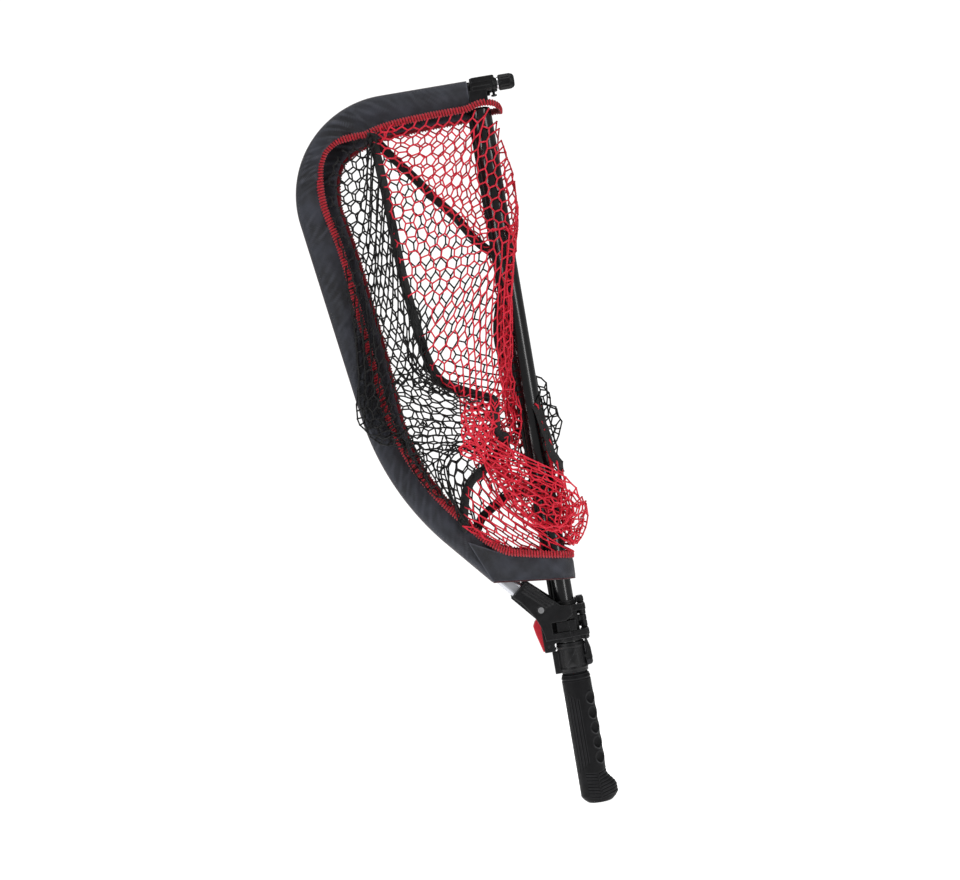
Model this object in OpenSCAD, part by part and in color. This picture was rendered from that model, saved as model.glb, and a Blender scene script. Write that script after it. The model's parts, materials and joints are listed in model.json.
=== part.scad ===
// Folding landing net: two hinged hoop halves that close like a book beside a sliding pole.
// Origin: middle of the grip, on the pole's axis. +Z runs up the pole to the tip,
// the closed hoop lies on the -X side, and the front half is the one at -Y.

/* [Pole and grip] */
// Outer radius of the pole tube
pole_r = 12; // [11:0.5:12]
// Wall thickness of the pole tube
pole_wall = 1.4; // [1:0.1:2]
// Height of the pole's upper end
pole_top = 697; // [660:1:697]
// Radius of the grip
grip_r = 16; // [15.4:0.1:16.5]
// Top of the grip
grip_top = 70; // [66:1:71]
// Bottom of the grip cover, where the butt cap starts
grip_bottom = -57; // [-60:1:-54]
// Number of finger dimples
dimple_count = 5; // [3:1:6]

/* [Hoop] */
// Distance from the fold plane to the middle of each hoop tube
half_gap = 11; // [10.6:0.1:11.4]
// Width of the flat-oval hoop tube, in the hoop's plane
tube_w = 16; // [14:0.5:16]
// Thickness of the hoop tube
tube_t = 10; // [9:0.5:10]
// Wall of the hoop tube
tube_wall = 1.5; // [1.2:0.1:2]
// Bend radius of the upper corner, at the middle of the tube
corner_r = 99.5; // [98:0.5:101]
// Bend radius of the lower corner
lower_r = 291.5; // [285:0.5:295]
// Length of the long straight side
side_len = 218; // [212:1:222]
// Width of the fabric sleeve
sleeve_w = 28.5; // [26:0.5:28.5]
// Thickness of the fabric sleeve round the tube
sleeve_t = 13; // [12.6:0.1:13]

/* [Head] */
// Distance from the pole's axis to the fold axis
fold_x = 18; // [18:0.1:18.2]
// Radius of the hinge knuckles
knuckle_r = 4.5; // [4:0.1:4.6]
// Radius of the hinge pin
hinge_pin_r = 2; // [1.8:0.1:2.2]
// Outer radius of the sliding housing
housing_r = 15; // [14.6:0.1:15]
// Thickness of each arm's plate
arm_t = 8.5; // [7:0.5:9]

/* [Tip] */
// Radius of the locking knob
knob_r = 8.5; // [8:0.1:8.6]
// Length of the locking knob
knob_len = 17.5; // [15:0.5:18]

/* [Hidden] */
$fn = 64;
fit = 0.05;              // running clearance on a radius
gap = 0.4;               // clearance between moving faces
eps = 0.01;

// pole
rail_w = 3;
rail_out = 14.5;
rail_slot = rail_w / 2 + gap;
rail_z = 75;
pole_bottom = -56;
butt_z = -71.7;          // the flat end that the net stands on

// hoop path: starts under the tip fitting, runs to -X, turns down, ends in the arm's socket
tube_z = 719.5;
path_x = -10;
top_len = 96;
corner_turn = 97.9;
lower_turn = 32.7;
socket_start = 90.8;     // from the lower bend to the face of the socket
socket_depth = 34;

// hinge stack, from the top down: [low, high] heights
knuckle_top = [147.1, 153];
front_upper = [140.1, 146.9];
rear_upper = [133.2, 139.9];
knuckle_mid = [126.6, 133];
rear_lower = [119.6, 126.4];
front_lower = [112.6, 119.4];
knuckle_low = [107, 112.4];

// arm
plate_y = 15.5;          // inner face of an arm's plate
arm_screw = [-26, 147];
screw_r = 1.5;
arm_face_z = 131.4;      // lower edge of the arm's upper plate

// trigger
trigger_pivot = [-24, 104];
trigger_w = 9.4;
trigger_pin_r = 1.5;

// clamp
clamp_z = [73, 105.8];
clamp_r = 15.2;
lever_pivot = [17.5, 82];
lever_w = 16.4;
lever_pin_r = 1.5;

// tip
tip_axis_z = 722.3;
tip_pin_r = 1.5;
neck_r = 5;
spindle_r = 3.5;
knob_x = 24.2;

// bag
net_y = 18;              // inner face of each net panel
net_t = 4;
spine_r = 15.5;
spine_wall = 3;

// ---- shared shapes -------------------------------------------------------

// A cylinder between two heights.
module rod(r, z) {
  translate([0, 0, z[0]]) cylinder(r = r, h = z[1] - z[0]);
}

// A cylinder along Y between two depths, at x and z.
module cross_rod(r, at, y) {
  translate([at[0], y[1], at[1]]) rotate([90, 0, 0]) cylinder(r = r, h = y[1] - y[0]);
}

// A plate drawn in the X-Z plane, filling y[0] to y[1].
module xz_plate(y) {
  translate([0, y[1], 0]) rotate([90, 0, 0]) linear_extrude(height = y[1] - y[0]) children();
}

// A box between two corners.
module block(low, high) {
  translate(low) cube(high - low);
}

// A flat oval, w wide and t thick, with its round ends as short chords.
end_points = 9;
function oval_points(w, t) = [for (side = [1, -1], i = [0 : end_points])
  let (a = i * 180 / end_points - 90) side * [(w - t) / 2 + t / 2 * cos(a), t / 2 * sin(a)]];
module flat_oval(w, t) {
  polygon(oval_points(w, t));
}

// The two ends of a length centred on middle.
function span(middle, half) = [middle - half, middle + half];

module at_fold() {
  translate([fold_x, 0, 0]) children();
}

module rail_cut(z) {
  block([-rail_out - 0.5, -rail_slot, z[0]], [-pole_r + 1.5, rail_slot, z[1]]);
}

// ---- the hoop's path -----------------------------------------------------
// The path lies in the X-Z plane. A station is [[x, z], heading], and a section's first
// coordinate runs from the path towards the hoop's inside.

function ahead(p, heading, d) = p + d * [cos(heading), sin(heading)];
function inward(heading) = [-sin(heading), cos(heading)];
function bend(start, heading, r, turn, count) = [for (i = [0 : count])
  let (t = heading + turn * i / count) [start + r * (inward(heading) - inward(t)), t]];

corner = bend(ahead([path_x, tube_z], 180, top_len), 180, corner_r, corner_turn, 12);
lower = bend(ahead(corner[12][0], 180 + corner_turn, side_len),
             180 + corner_turn, lower_r, lower_turn, 6);
end_heading = 180 + corner_turn + lower_turn;
function stations(last_len) = concat([[[path_x, tube_z], 180]], corner, lower,
  [[ahead(lower[6][0], end_heading, last_len), end_heading]]);

// The points of one section at every station, station after station.
function swept_points(path, section) = [for (s = path, q = section)
  let (at = s[0] + q[0] * inward(s[1])) [at[0], -half_gap - q[1], at[1]]];

// Quads that join ring after ring of n points, the first being point number first. The
// wall of a hollow faces the other way.
function side_faces(rings, n, first, hollow) = [for (k = [0 : rings - 2], i = [0 : n - 1])
  let (a = first + k * n + i, b = first + k * n + (i + 1) % n)
  hollow ? [a, b, b + n, a + n] : [a, a + n, b + n, b]];

// Sweeps a closed section along the hoop.
module hoop_sweep(last_len, section) {
  path = stations(last_len);
  n = len(section);
  last = n * (len(path) - 1);
  polyhedron(points = swept_points(path, section), convexity = 8, faces = concat(
    side_faces(len(path), n, 0, false),
    [[for (i = [0 : n - 1]) i], [for (i = [n - 1 : -1 : 0]) last + i]]));
}

// Sweeps a hollow section along the hoop; both outlines have the same number of points.
module hollow_sweep(last_len, outer, inner) {
  path = stations(last_len);
  n = len(outer);
  count = n * len(path);
  last = n * (len(path) - 1);
  polyhedron(points = concat(swept_points(path, outer), swept_points(path, inner)), convexity = 8,
    faces = concat(
      side_faces(len(path), n, 0, false),
      side_faces(len(path), n, count, true),
      [for (i = [0 : n - 1]) let (j = (i + 1) % n) [i, j, count + j, count + i]],
      [for (i = [0 : n - 1]) let (j = (i + 1) % n, p = last + i, q = last + j)
        [p, count + p, count + q, q]]));
}

// Puts a drawing made along +Z, with the hoop's inside at +X, past the lower bend.
module past_bends(d) {
  at = ahead(lower[6][0], end_heading, d);
  translate([at[0], -half_gap, at[1]]) rotate([0, 90 - end_heading, 0]) rotate([0, 0, 180])
    children();
}

// ---- handle --------------------------------------------------------------

module pole_tube() {
  color("#141416") difference() {
    union() {
      rod(pole_r, [pole_bottom, pole_top]);
      block([-rail_out, -rail_w / 2, rail_z], [-pole_r + 1, rail_w / 2, pole_top]);
    }
    rod(pole_r - pole_wall, [pole_bottom - 1, pole_top + 1]);
    cross_rod(screw_r + fit, [0, 40], [-20, 20]);
  }
}

module pole_end_plug() {
  inner = pole_r - pole_wall - fit;
  color("#1a1a1c") {
    rod(inner, [pole_top - 18, pole_top + eps]);
    translate([0, 0, pole_top]) cylinder(r1 = pole_r - 0.3, r2 = pole_r - 1.5, h = 2.5);
  }
}

module pole_bottom_plug() {
  color("#1a1a1c") rod(pole_r - pole_wall - fit, [pole_bottom, pole_bottom + 10]);
}

module grip_core() {
  color("#1c1c1f") difference() {
    rod(grip_r - 2, [grip_bottom, grip_top - 2]);
    rod(pole_r + fit, [pole_bottom - 0.5, grip_top]);
    cross_rod(screw_r + fit, [0, 40], [-20, 20]);
  }
}

module grip_rivet() {
  color("silver") cross_rod(screw_r, [0, 40], [-grip_r + 2.1, grip_r - 2.1]);
}

// Flare of the grip towards its heel.
module heel(z, r) {
  hull() {
    translate([0, 0, z[1]]) cylinder(r = grip_r, h = 0.5, $fn = 48);
    translate([0, 0, z[0]]) cylinder(r = r, h = 0.5, $fn = 48);
    translate([25 - r, 0, z[0]]) cylinder(r = r, h = 1.5, $fn = 48);
  }
}

module grip_cover() {
  pitch = 17;
  color("#202124") difference() {
    union() {
      rod(grip_r, [-40, grip_top - 4]);
      translate([0, 0, grip_top - 4]) cylinder(r1 = grip_r, r2 = grip_r - 1, h = 4);
      heel([grip_bottom, -40], grip_r - 0.3);
    }
    rod(grip_r - 2 + fit, [grip_bottom - 1, grip_top + 1]);
    // finger dimples down the right-hand front
    for (i = [0 : dimple_count - 1])
      rotate([0, 0, -38]) translate([grip_r + 9, 0, 50 - pitch * i]) sphere(r = 10.6);
    // palm grooves down the left-hand front
    for (a = [196 : 10 : 236])
      rotate([0, 0, a]) block([grip_r - 1, -0.7, -36], [grip_r + 2, 0.7, 46]);
    // heel slots, two columns
    for (x = [-5.5, 9.5], i = [0 : 4])
      block([x - 5, -20, -40.9 - 3.7 * i], [x + 5, -grip_r + 1.8, -39.1 - 3.7 * i]);
  }
}

module butt_cap() {
  edge_r = grip_r - 0.3;
  end_r = 12.3;
  color("#202124") difference() {
    hull() {
      for (x = [0, 9.3]) translate([x, 0, grip_bottom - 2]) cylinder(r = edge_r, h = 1.9, $fn = 48);
      for (x = [1, 8.6]) translate([x, 0, -66]) cylinder(r = edge_r, h = 0.5, $fn = 48);
      for (x = [2.7, 5.4]) translate([x, 0, butt_z]) cylinder(r = end_r, h = 0.5, $fn = 48);
    }
    for (x = [-5.5, 9.5], i = [0 : 1])
      block([x - 5, -20, -61.2 - 3.7 * i], [x + 5, -grip_r + 1.8, -59.4 - 3.7 * i]);
  }
}

// ---- sliding head --------------------------------------------------------

// One housing lug that carries the hinge pin.
module housing_lug(z) {
  block([9, -knuckle_r, z[0]], [fold_x, knuckle_r, z[1]]);
  at_fold() rod(knuckle_r, z);
}

module head_housing() {
  cheek = [[-29, 98], [-17, 98], [-17, 106.8], [-13, 106.8], [-13, 131], [-25.5, 131], [-29, 125]];
  color("#1b1c1e") difference() {
    union() {
      difference() {
        rod(housing_r, [knuckle_low[0], 152]);
        // flats that clear the arms' knuckles
        block([fold_x - knuckle_r - gap, -20, front_lower[0] - 0.1], [20, 20, rear_lower[1] + 0.1]);
        block([fold_x - knuckle_r - gap, -20, rear_upper[0] - 0.1], [20, 20, front_upper[1] + 0.1]);
      }
      for (z = [knuckle_top, knuckle_mid, knuckle_low]) housing_lug(z);
      // stop lug between the two fingers of the front arm
      block([-12, -22, 119.9], [9, -12.5, 130.9]);
      block([1, -23.2, 119.9], [9, -22, 130.9]);
      // cheeks that hold the trigger
      for (side = [-1, 1]) xz_plate(span(side * 6.85, 1.65)) polygon(cheek);
    }
    rod(pole_r + gap, [90, 160]);
    rod(pole_r + 1 + fit, [146, 160]);
    rod(pole_r + 1 + fit, [100, 112.5]);
    rail_cut([90, 160]);
    at_fold() rod(hinge_pin_r + fit, [90, 160]);
    cross_rod(trigger_pin_r + fit, trigger_pivot, [-10, 10]);
  }
}

module guide_bush(z) {
  difference() {
    rod(pole_r + 1, z);
    rod(pole_r + fit, z + [-1, 1]);
    rail_cut(z + [-1, 1]);
  }
}

module guide_bush_upper() {
  color("#4a4c50") guide_bush([146.1, 151.8]);
}

module guide_bush_lower() {
  color("#4a4c50") guide_bush([107.1, 112.4]);
}

module hinge_pin() {
  color("silver") at_fold() {
    rod(hinge_pin_r, [knuckle_low[0] - 1.2, knuckle_top[1] + eps]);
    rod(hinge_pin_r + 1.6, [knuckle_top[1], knuckle_top[1] + 1.4]);
  }
}

module hinge_pin_clip() {
  color("silver") at_fold() difference() {
    rod(hinge_pin_r + 1.4, span(knuckle_low[0] - 0.5, 0.4));
    rod(hinge_pin_r, [90, 120]);
    block([0, -0.8, 90], [6, 0.8, 120]);
  }
}

module clamp_collar() {
  ear_y = 6;
  color("#1b1c1e") difference() {
    union() {
      rod(clamp_r, clamp_z);
      rod(clamp_r + 0.5, [76.5, 78]);
      rod(clamp_r + 0.5, [101, 103]);
      // flange on the closed side
      block([-21, -3.5, clamp_z[0]], [-12.5, 3.5, 97]);
      // ears on the split side
      cross_rod(4, lever_pivot, [-ear_y, ear_y]);
      block([11, -ear_y, lever_pivot[1] - 4], [lever_pivot[0], ear_y, lever_pivot[1] + 4]);
    }
    rod(pole_r + fit, clamp_z + [-1, 1]);
    rail_cut(clamp_z + [-1, 1]);
    block([10, -0.7, clamp_z[0] - 1], [24, 0.7, clamp_z[1] + 1]);
    block([-30, -2.2, 98], [-12, 2.2, 103.5]);
    cross_rod(lever_pin_r + fit, lever_pivot, [-10, 10]);
  }
}

module clamp_bolt() {
  color("silver") {
    cross_rod(lever_pin_r, lever_pivot, [-8.3, 9.6]);
    cross_rod(2.8, lever_pivot, [-10, -8.3]);
  }
}

module clamp_nut() {
  color("silver") difference() {
    translate([lever_pivot[0], 10.2, lever_pivot[1]]) rotate([90, 0, 0]) cylinder(r = 3, h = 1.9, $fn = 6);
    cross_rod(lever_pin_r, lever_pivot, [8, 11]);
  }
}

module clamp_lever() {
  blade = [[16.2, 89], [16.2, 104], [17.4, 105.3], [19, 105.3], [21, 97], [21.4, 88.5], [17, 88.8]];
  side = [[14.3, 82], [14.3, 90], [21.2, 92], [21.6, 86], [20.7, 82]];
  color("#2a2b2e") difference() {
    union() {
      xz_plate([-lever_w / 2, lever_w / 2]) polygon(blade);
      for (s = [-1, 1]) {
        xz_plate(span(s * 7.2, 1)) polygon(side);
        cross_rod(3.2, lever_pivot, span(s * 7.2, 1));
      }
    }
    cross_rod(lever_pin_r + fit, lever_pivot, [-12, 12]);
    cross_rod(6.6, lever_pivot, [-6.2, 6.2]);
  }
}

module trigger_pin() {
  color("silver") cross_rod(trigger_pin_r, trigger_pivot, [-8.5, 8.5]);
}

module trigger_spring() {
  color("silver") for (i = [-1.5 : 1 : 1.5])
    translate([trigger_pivot[0], i * 1.05, trigger_pivot[1]]) rotate([90, 0, 0])
      rotate_extrude() translate([3, 0]) circle(r = 0.6);
}

module trigger() {
  outline = [[-31, 137], [-34.5, 133.5], [-37, 128.5], [-35.6, 120], [-32.6, 108], [-30.4, 99.5],
             [-26, 99], [-20.5, 101], [-20.5, 107], [-23, 113], [-26.5, 124], [-28, 137]];
  color("#d2152c") difference() {
    xz_plate([-trigger_w / 2, trigger_w / 2]) polygon(outline);
    cross_rod(trigger_pin_r + fit, trigger_pivot, [-10, 10]);
    cross_rod(4.4, trigger_pivot, [-2.7, 2.7]);
    // thumb hollow
    translate([-41, 0, 120]) rotate([90, 0, 0]) cylinder(r = 7, h = 5, center = true);
  }
}

module latch_pawl() {
  color("silver") block([-19.4, -1.5, 99.2], [-15.7, 1.5, 101.8]);
  color("silver") block([-20.5, -2.4, 99.2], [-19.4, 2.4, 101.8]);
}

// ---- arms ----------------------------------------------------------------

// Outline of an arm's plate, with its upper finger and its lower finger.
module arm_outline(lower) {
  polygon([[-54, 166], [-45, 157.5], [-38, 147.5], [-33, 138.5], [-29, 129], [-26.8, 120],
           [-26, 112.6], [-24.5, lower[0]], [2, lower[0]], [2, lower[1]], [-17, lower[1]],
           [-17, arm_face_z], [-1, arm_face_z], [7, 137], [7, 147], [-4, 148.8], [-38, 179.7]]);
}

// Outline of the thick outer part of an arm.
module arm_body_outline() {
  polygon([[-54, 166], [-45, 157.5], [-38, 147.5], [-33, 138.5], [-29, 129], [-26.8, 120],
           [-26, 112.6], [-20.5, 112.6], [-20.5, 150], [-24, 167], [-38, 179.7]]);
}

// A finger's web and knuckle, from the plate round to the fold axis.
module arm_knuckle(z) {
  web_x = fold_x - knuckle_r;
  web_end = fold_x + knuckle_r;
  translate([0, 0, z[0]]) linear_extrude(height = z[1] - z[0])
    polygon([[0, -20.5], [19, -20.5], [web_end, -17], [web_end, 0], [web_x, 0],
             [web_x, -plate_y], [0, -plate_y]]);
  at_fold() rod(knuckle_r, z);
}

// Raised ribs that run along the arm from its socket.
module arm_ribs() {
  for (offset = [3.2, 6.4, 9.6])
    translate([-38, -plate_y - arm_t, 179.7]) rotate([0, 42.3, 0])
      block([3, -0.9, -offset - 0.6], [40 - offset * 0.6, 0.5, -offset + 0.6]);
}

module arm(upper, lower) {
  color("#1d1e20") difference() {
    union() {
      xz_plate([-plate_y - arm_t, -plate_y]) arm_outline(lower);
      xz_plate([-plate_y - 1, -9.5]) arm_body_outline();
      past_bends(socket_start) linear_extrude(height = socket_depth + 2)
        translate([0, 1.5]) square([21, 15], center = true);
      arm_knuckle(upper);
      arm_knuckle(lower);
      arm_ribs();
    }
    past_bends(0) linear_extrude(height = socket_start + socket_depth + 0.1)
      flat_oval(tube_w + 0.2, tube_t + 0.2);
    rod(housing_r + gap, [90, 180]);
    at_fold() rod(hinge_pin_r + fit, [90, 160]);
    cross_rod(screw_r + fit, arm_screw, [-30, -5]);
    cross_rod(4, arm_screw, [-30, -plate_y - arm_t + 2.2]);
  }
}

// Cross-head screw that holds a hoop tube in its arm.
module arm_screw_shape() {
  head_y = -plate_y - arm_t;
  color("silver") difference() {
    union() {
      cross_rod(3.4, arm_screw, [head_y + 0.4, head_y + 2.2]);
      cross_rod(screw_r, arm_screw, [head_y + 2.2 - eps, -8.5]);
    }
    for (turn = [20, 110])
      translate([arm_screw[0], head_y + 0.9, arm_screw[1]]) rotate([0, turn, 0])
        cube([3.8, 1.2, 0.9], center = true);
  }
}

module front_arm() {
  arm(front_upper, front_lower);
}

module front_arm_screw() {
  arm_screw_shape();
}

module rear_arm() {
  mirror([0, 1, 0]) arm(rear_upper, rear_lower);
}

module rear_arm_screw() {
  mirror([0, 1, 0]) arm_screw_shape();
}

// ---- hoop tubes ----------------------------------------------------------

module hoop_tube() {
  color("#b9bcc2") difference() {
    hollow_sweep(socket_start + socket_depth, oval_points(tube_w, tube_t),
      oval_points(tube_w - 2 * tube_wall, tube_t - 2 * tube_wall));
    cross_rod(screw_r + fit, arm_screw, [-30, 0]);
  }
}

module tube_insert() {
  color("#8d9097") difference() {
    past_bends(socket_start + 6) linear_extrude(height = socket_depth - 7)
      flat_oval(tube_w - 2 * tube_wall - 0.1, tube_t - 2 * tube_wall - 0.1);
    cross_rod(screw_r + fit, arm_screw, [-30, 0]);
  }
}

module front_tube() { hoop_tube(); }
module front_tube_insert() { tube_insert(); }
module rear_tube() { mirror([0, 1, 0]) hoop_tube(); }
module rear_tube_insert() { mirror([0, 1, 0]) tube_insert(); }

// ---- tip fittings --------------------------------------------------------

// Spigot inside the upper end of a hoop tube.
module tip_spigot(x_end) {
  translate([path_x - 14, -half_gap, tube_z]) rotate([0, 90, 0])
    linear_extrude(height = x_end - path_x + 14)
      flat_oval(tube_w - 2 * tube_wall - 0.1, tube_t - 2 * tube_wall - 0.1);
}

module front_tip_fitting() {
  color("#17181a") difference() {
    union() {
      tip_spigot(-6);
      block([path_x + 0.2, -17, 702.5], [10, -5, 716.8]);
      block([-7, -16.8, 716.3], [20, -5.2, 730.5]);
      // two long ribs along the front
      block([-5, -18.2, 725.3], [19, -16.5, 730.9]);
      block([-5, -18.2, 716.7], [15, -16.5, 720.7]);
      // knuckle and its web
      block([fold_x - knuckle_r, -6, 723.5], [fold_x + 2, 0, 730.7]);
      at_fold() rod(knuckle_r, [723.5, 730.7]);
      // neck and the spindle that carries the knob
      translate([19, -half_gap, tip_axis_z]) rotate([0, 90, 0]) {
        cylinder(r1 = neck_r + 1.8, r2 = neck_r, h = 3.6);
        cylinder(r = neck_r, h = knob_x - 19 - 0.4);
        cylinder(r = spindle_r, h = knob_x - 19 + knob_len - 3);
      }
    }
    at_fold() rod(tip_pin_r + fit, [700, 740]);
    at_fold() rod(knuckle_r + gap, [700, 723.4]);
  }
}

module tip_neck_ring() {
  color("silver") translate([22.7, -half_gap, tip_axis_z]) rotate([0, 90, 0]) difference() {
    cylinder(r = neck_r + 1.4, h = 1.2);
    translate([0, 0, -1]) cylinder(r = neck_r + 0.02, h = 4);
  }
}

module tip_knob() {
  groove_depth = 0.7;
  color("#1d1e20") translate([knob_x, -half_gap, tip_axis_z]) rotate([0, 90, 0]) difference() {
    rotate_extrude() polygon([[spindle_r + fit, 0], [knob_r - 1, 0], [knob_r, 1.2],
      [knob_r, knob_len - 5], [knob_r - 1.2, knob_len - 1.6], [knob_r - 3.2, knob_len],
      [0, knob_len], [0, knob_len - 2.5], [spindle_r + fit, knob_len - 2.5]]);
    for (a = [10 : 30 : 340]) rotate([0, 0, a])
      block([knob_r - groove_depth, -0.8, 2], [knob_r + 1, 0.8, knob_len - 5.2]);
  }
}

module tip_hinge_pin() {
  color("silver") at_fold() {
    rod(tip_pin_r, [712.3, 730.7 + eps]);
    rod(tip_pin_r + 1.5, [730.7, 731.7]);
    rod(tip_pin_r + 1.7, [710.9, 712.3 + eps]);
  }
}

module rear_tip_fitting() {
  cradle_y = half_gap;
  color("#17181a") difference() {
    union() {
      mirror([0, 1, 0]) tip_spigot(-7);
      block([path_x + 0.2, 0.5, 710], [-7, 17, 730.3]);
      block([path_x + 0.2, 0.5, 713.3], [14, 5, 730.7]);
      block([9, 0.5, 716], [fold_x, 2.1, 723.1]);
      at_fold() rod(knuckle_r, [716, 723.1]);
    }
    // room for the knob and its neck when the hoop is open
    translate([-6.9, cradle_y, tip_axis_z]) rotate([0, 90, 0]) cylinder(r = knob_r + 0.5, h = 40);
    at_fold() rod(tip_pin_r + fit, [700, 740]);
    at_fold() rod(8.2, [723.3, 740]);
  }
}

// ---- soft goods, as plain closed solids ----------------------------------

// Outline of the fabric sleeve round a hoop tube: full at the tube, thin at the inner edge.
function sleeve_points() =
  let (outer = tube_w / 2 + 1.6, inner = sleeve_w - outer, half = sleeve_t / 2, edge = 3)
  [for (i = [0 : end_points]) let (a = i * 180 / end_points - 90)
     i == 0 || i == end_points ? [7.5, half * sign(a)]
                               : [inner - edge + edge * cos(a), edge * sin(a)],
   for (i = [0 : end_points]) let (a = i * 180 / end_points + 90)
     [-outer + half + half * cos(a), half * sin(a)]];

module sleeve() {
  color("#2b2e36") hollow_sweep(socket_start - 26, sleeve_points(), oval_points(tube_w + 0.3, tube_t + 0.3));
}

// Bound red edge that joins the net to the sleeve.
module rim() {
  inner = sleeve_w - tube_w / 2 - 1.6;
  color("#c01428") {
    hoop_sweep(socket_start - 42, [for (q = [[0.4, -2], [5.9, -2], [5.9, 2], [0.4, 2]]) [inner + q[0], q[1]]]);
    block([-9, -17.4, 694.6], [17, -14.2, 700]);
    xz_plate([-17.4, -14.2])
      polygon([[-72, 231.5], [-49, 216.5], [17, 203.5], [17, 199], [-49, 212], [-72, 226.8]]);
  }
}

// Fabric panel that closes the corner between the hoop tube and the fold.
module flap() {
  color("#2b2e36") xz_plate([-20.4, -17.9])
    polygon([[-86, 232], [-49, 211.5], [17.5, 198], [14, 175.5], [-71, 187]]);
}

// One side of the bag: a flat panel with a thicker bunch low down.
module net_panel() {
  panel = [[7.5, 690], [-60, 693], [-130, 688], [-165, 668], [-176, 640], [-176, 600], [-166, 500],
           [-152, 400], [-138, 330], [-105, 268], [-84, 240], [-49, 216], [7.5, 203]];
  bunch = [[7.5, 440], [-60, 452], [-110, 440], [-160, 412], [-192, 390], [-192, 362], [-160, 330],
           [-128, 282], [-84, 236], [-40, 214], [7.5, 206]];
  color("#8c1626") {
    xz_plate([-net_y - net_t, -net_y]) polygon(panel);
    xz_plate([-net_y - 26, -net_y - net_t + eps]) polygon(bunch);
  }
}

module front_sleeve() { sleeve(); }
module front_rim() { rim(); }
module front_flap() { flap(); }
module front_net() { net_panel(); }
module rear_sleeve() { mirror([0, 1, 0]) sleeve(); }
module rear_rim() { mirror([0, 1, 0]) rim(); }
module rear_flap() { mirror([0, 1, 0]) flap(); }
module rear_net() { mirror([0, 1, 0]) net_panel(); }

// Half shell round the fold axis.
module fold_shell(z) {
  at_fold() difference() {
    rod(spine_r, z);
    rod(spine_r - spine_wall, z + [-1, 1]);
    block([-20, -20, z[0] - 1], [0.2, 20, z[1] + 1]);
  }
}

module spine_web() {
  color("#2b2e36") fold_shell([175.5, 197.5]);
}

module spine_net() {
  bulge_r = 17;
  color("#c01428") {
    fold_shell([206, 690]);
    difference() {
      for (z = [266, 344]) cross_rod(bulge_r, [fold_x + 15.5, z], [-8, 8]);
      at_fold() rod(spine_r - spine_wall, [200, 400]);
      block([0, -9, 200], [fold_x + 2, 9, 400]);
    }
  }
}

pole_tube();
pole_end_plug();
pole_bottom_plug();
grip_core();
grip_cover();
butt_cap();
grip_rivet();
head_housing();
guide_bush_upper();
guide_bush_lower();
hinge_pin();
hinge_pin_clip();
clamp_collar();
clamp_bolt();
clamp_nut();
clamp_lever();
trigger_pin();
trigger_spring();
trigger();
latch_pawl();
front_arm();
front_arm_screw();
front_tube();
front_tube_insert();
front_tip_fitting();
tip_neck_ring();
tip_knob();
tip_hinge_pin();
front_sleeve();
front_rim();
front_flap();
front_net();
rear_arm();
rear_arm_screw();
rear_tube();
rear_tube_insert();
rear_tip_fitting();
rear_sleeve();
rear_rim();
rear_flap();
rear_net();
spine_web();
spine_net();
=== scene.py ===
"""Looks of the folding landing net: mesh bag, fabric, bindings and every material.

Positions are in millimetres in the part's own frame, +Z up the pole and the closed hoop at
-X, and turn into metres only where a mesh is made.
"""

import json
import math

import bpy
import numpy as np
from mathutils import Matrix, Vector


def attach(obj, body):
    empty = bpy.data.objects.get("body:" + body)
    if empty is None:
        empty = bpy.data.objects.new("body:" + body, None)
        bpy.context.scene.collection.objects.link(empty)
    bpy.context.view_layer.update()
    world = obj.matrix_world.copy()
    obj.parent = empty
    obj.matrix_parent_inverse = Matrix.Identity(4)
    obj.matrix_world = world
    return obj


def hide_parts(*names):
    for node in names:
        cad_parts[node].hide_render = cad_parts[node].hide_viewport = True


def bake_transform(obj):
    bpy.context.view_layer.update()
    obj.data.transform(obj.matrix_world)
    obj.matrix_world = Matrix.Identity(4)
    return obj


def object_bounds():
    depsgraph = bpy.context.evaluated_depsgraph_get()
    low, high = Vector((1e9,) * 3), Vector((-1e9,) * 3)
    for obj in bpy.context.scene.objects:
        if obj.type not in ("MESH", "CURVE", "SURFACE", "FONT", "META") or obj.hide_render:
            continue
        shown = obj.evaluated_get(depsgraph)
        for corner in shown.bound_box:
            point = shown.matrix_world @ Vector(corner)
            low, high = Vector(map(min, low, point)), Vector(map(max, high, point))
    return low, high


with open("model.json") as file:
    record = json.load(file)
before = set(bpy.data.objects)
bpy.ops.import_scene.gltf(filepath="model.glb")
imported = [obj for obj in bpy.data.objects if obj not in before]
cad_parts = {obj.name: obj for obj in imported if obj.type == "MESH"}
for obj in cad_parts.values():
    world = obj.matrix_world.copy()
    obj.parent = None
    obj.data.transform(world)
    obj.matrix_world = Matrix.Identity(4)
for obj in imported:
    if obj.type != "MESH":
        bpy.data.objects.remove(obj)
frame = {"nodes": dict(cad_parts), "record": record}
cad_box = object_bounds()
MM = 0.001

# ---- sizes shared by several pieces, in mm -------------------------------
HALF_GAP = 11.0              # from the fold plane to the middle of each hoop tube
POLE_R = 12.0
TUBE_Z = 719.5               # height of the hoop's top
TOP_LEN, SIDE_LEN = 96.0, 218.0
CORNER_R, CORNER_TURN = 99.5, 97.9
LOWER_R, LOWER_TURN = 291.5, 32.7
END_LEN = 64.8               # the sleeve's length past the lower bend


# ---- small geometry helpers ----------------------------------------------

def polyline_length(points):
    """Distance from the first point to each point."""
    steps = np.linalg.norm(np.diff(points, axis=0), axis=1)
    return np.r_[0, np.cumsum(steps)]


def resample(points, count):
    """The same line with evenly spaced points."""
    points = np.asarray(points, float)
    along = polyline_length(points)
    at = np.linspace(0, along[-1], count)
    return np.stack([np.interp(at, along, points[:, k]) for k in range(points.shape[1])], axis=1)


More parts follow.
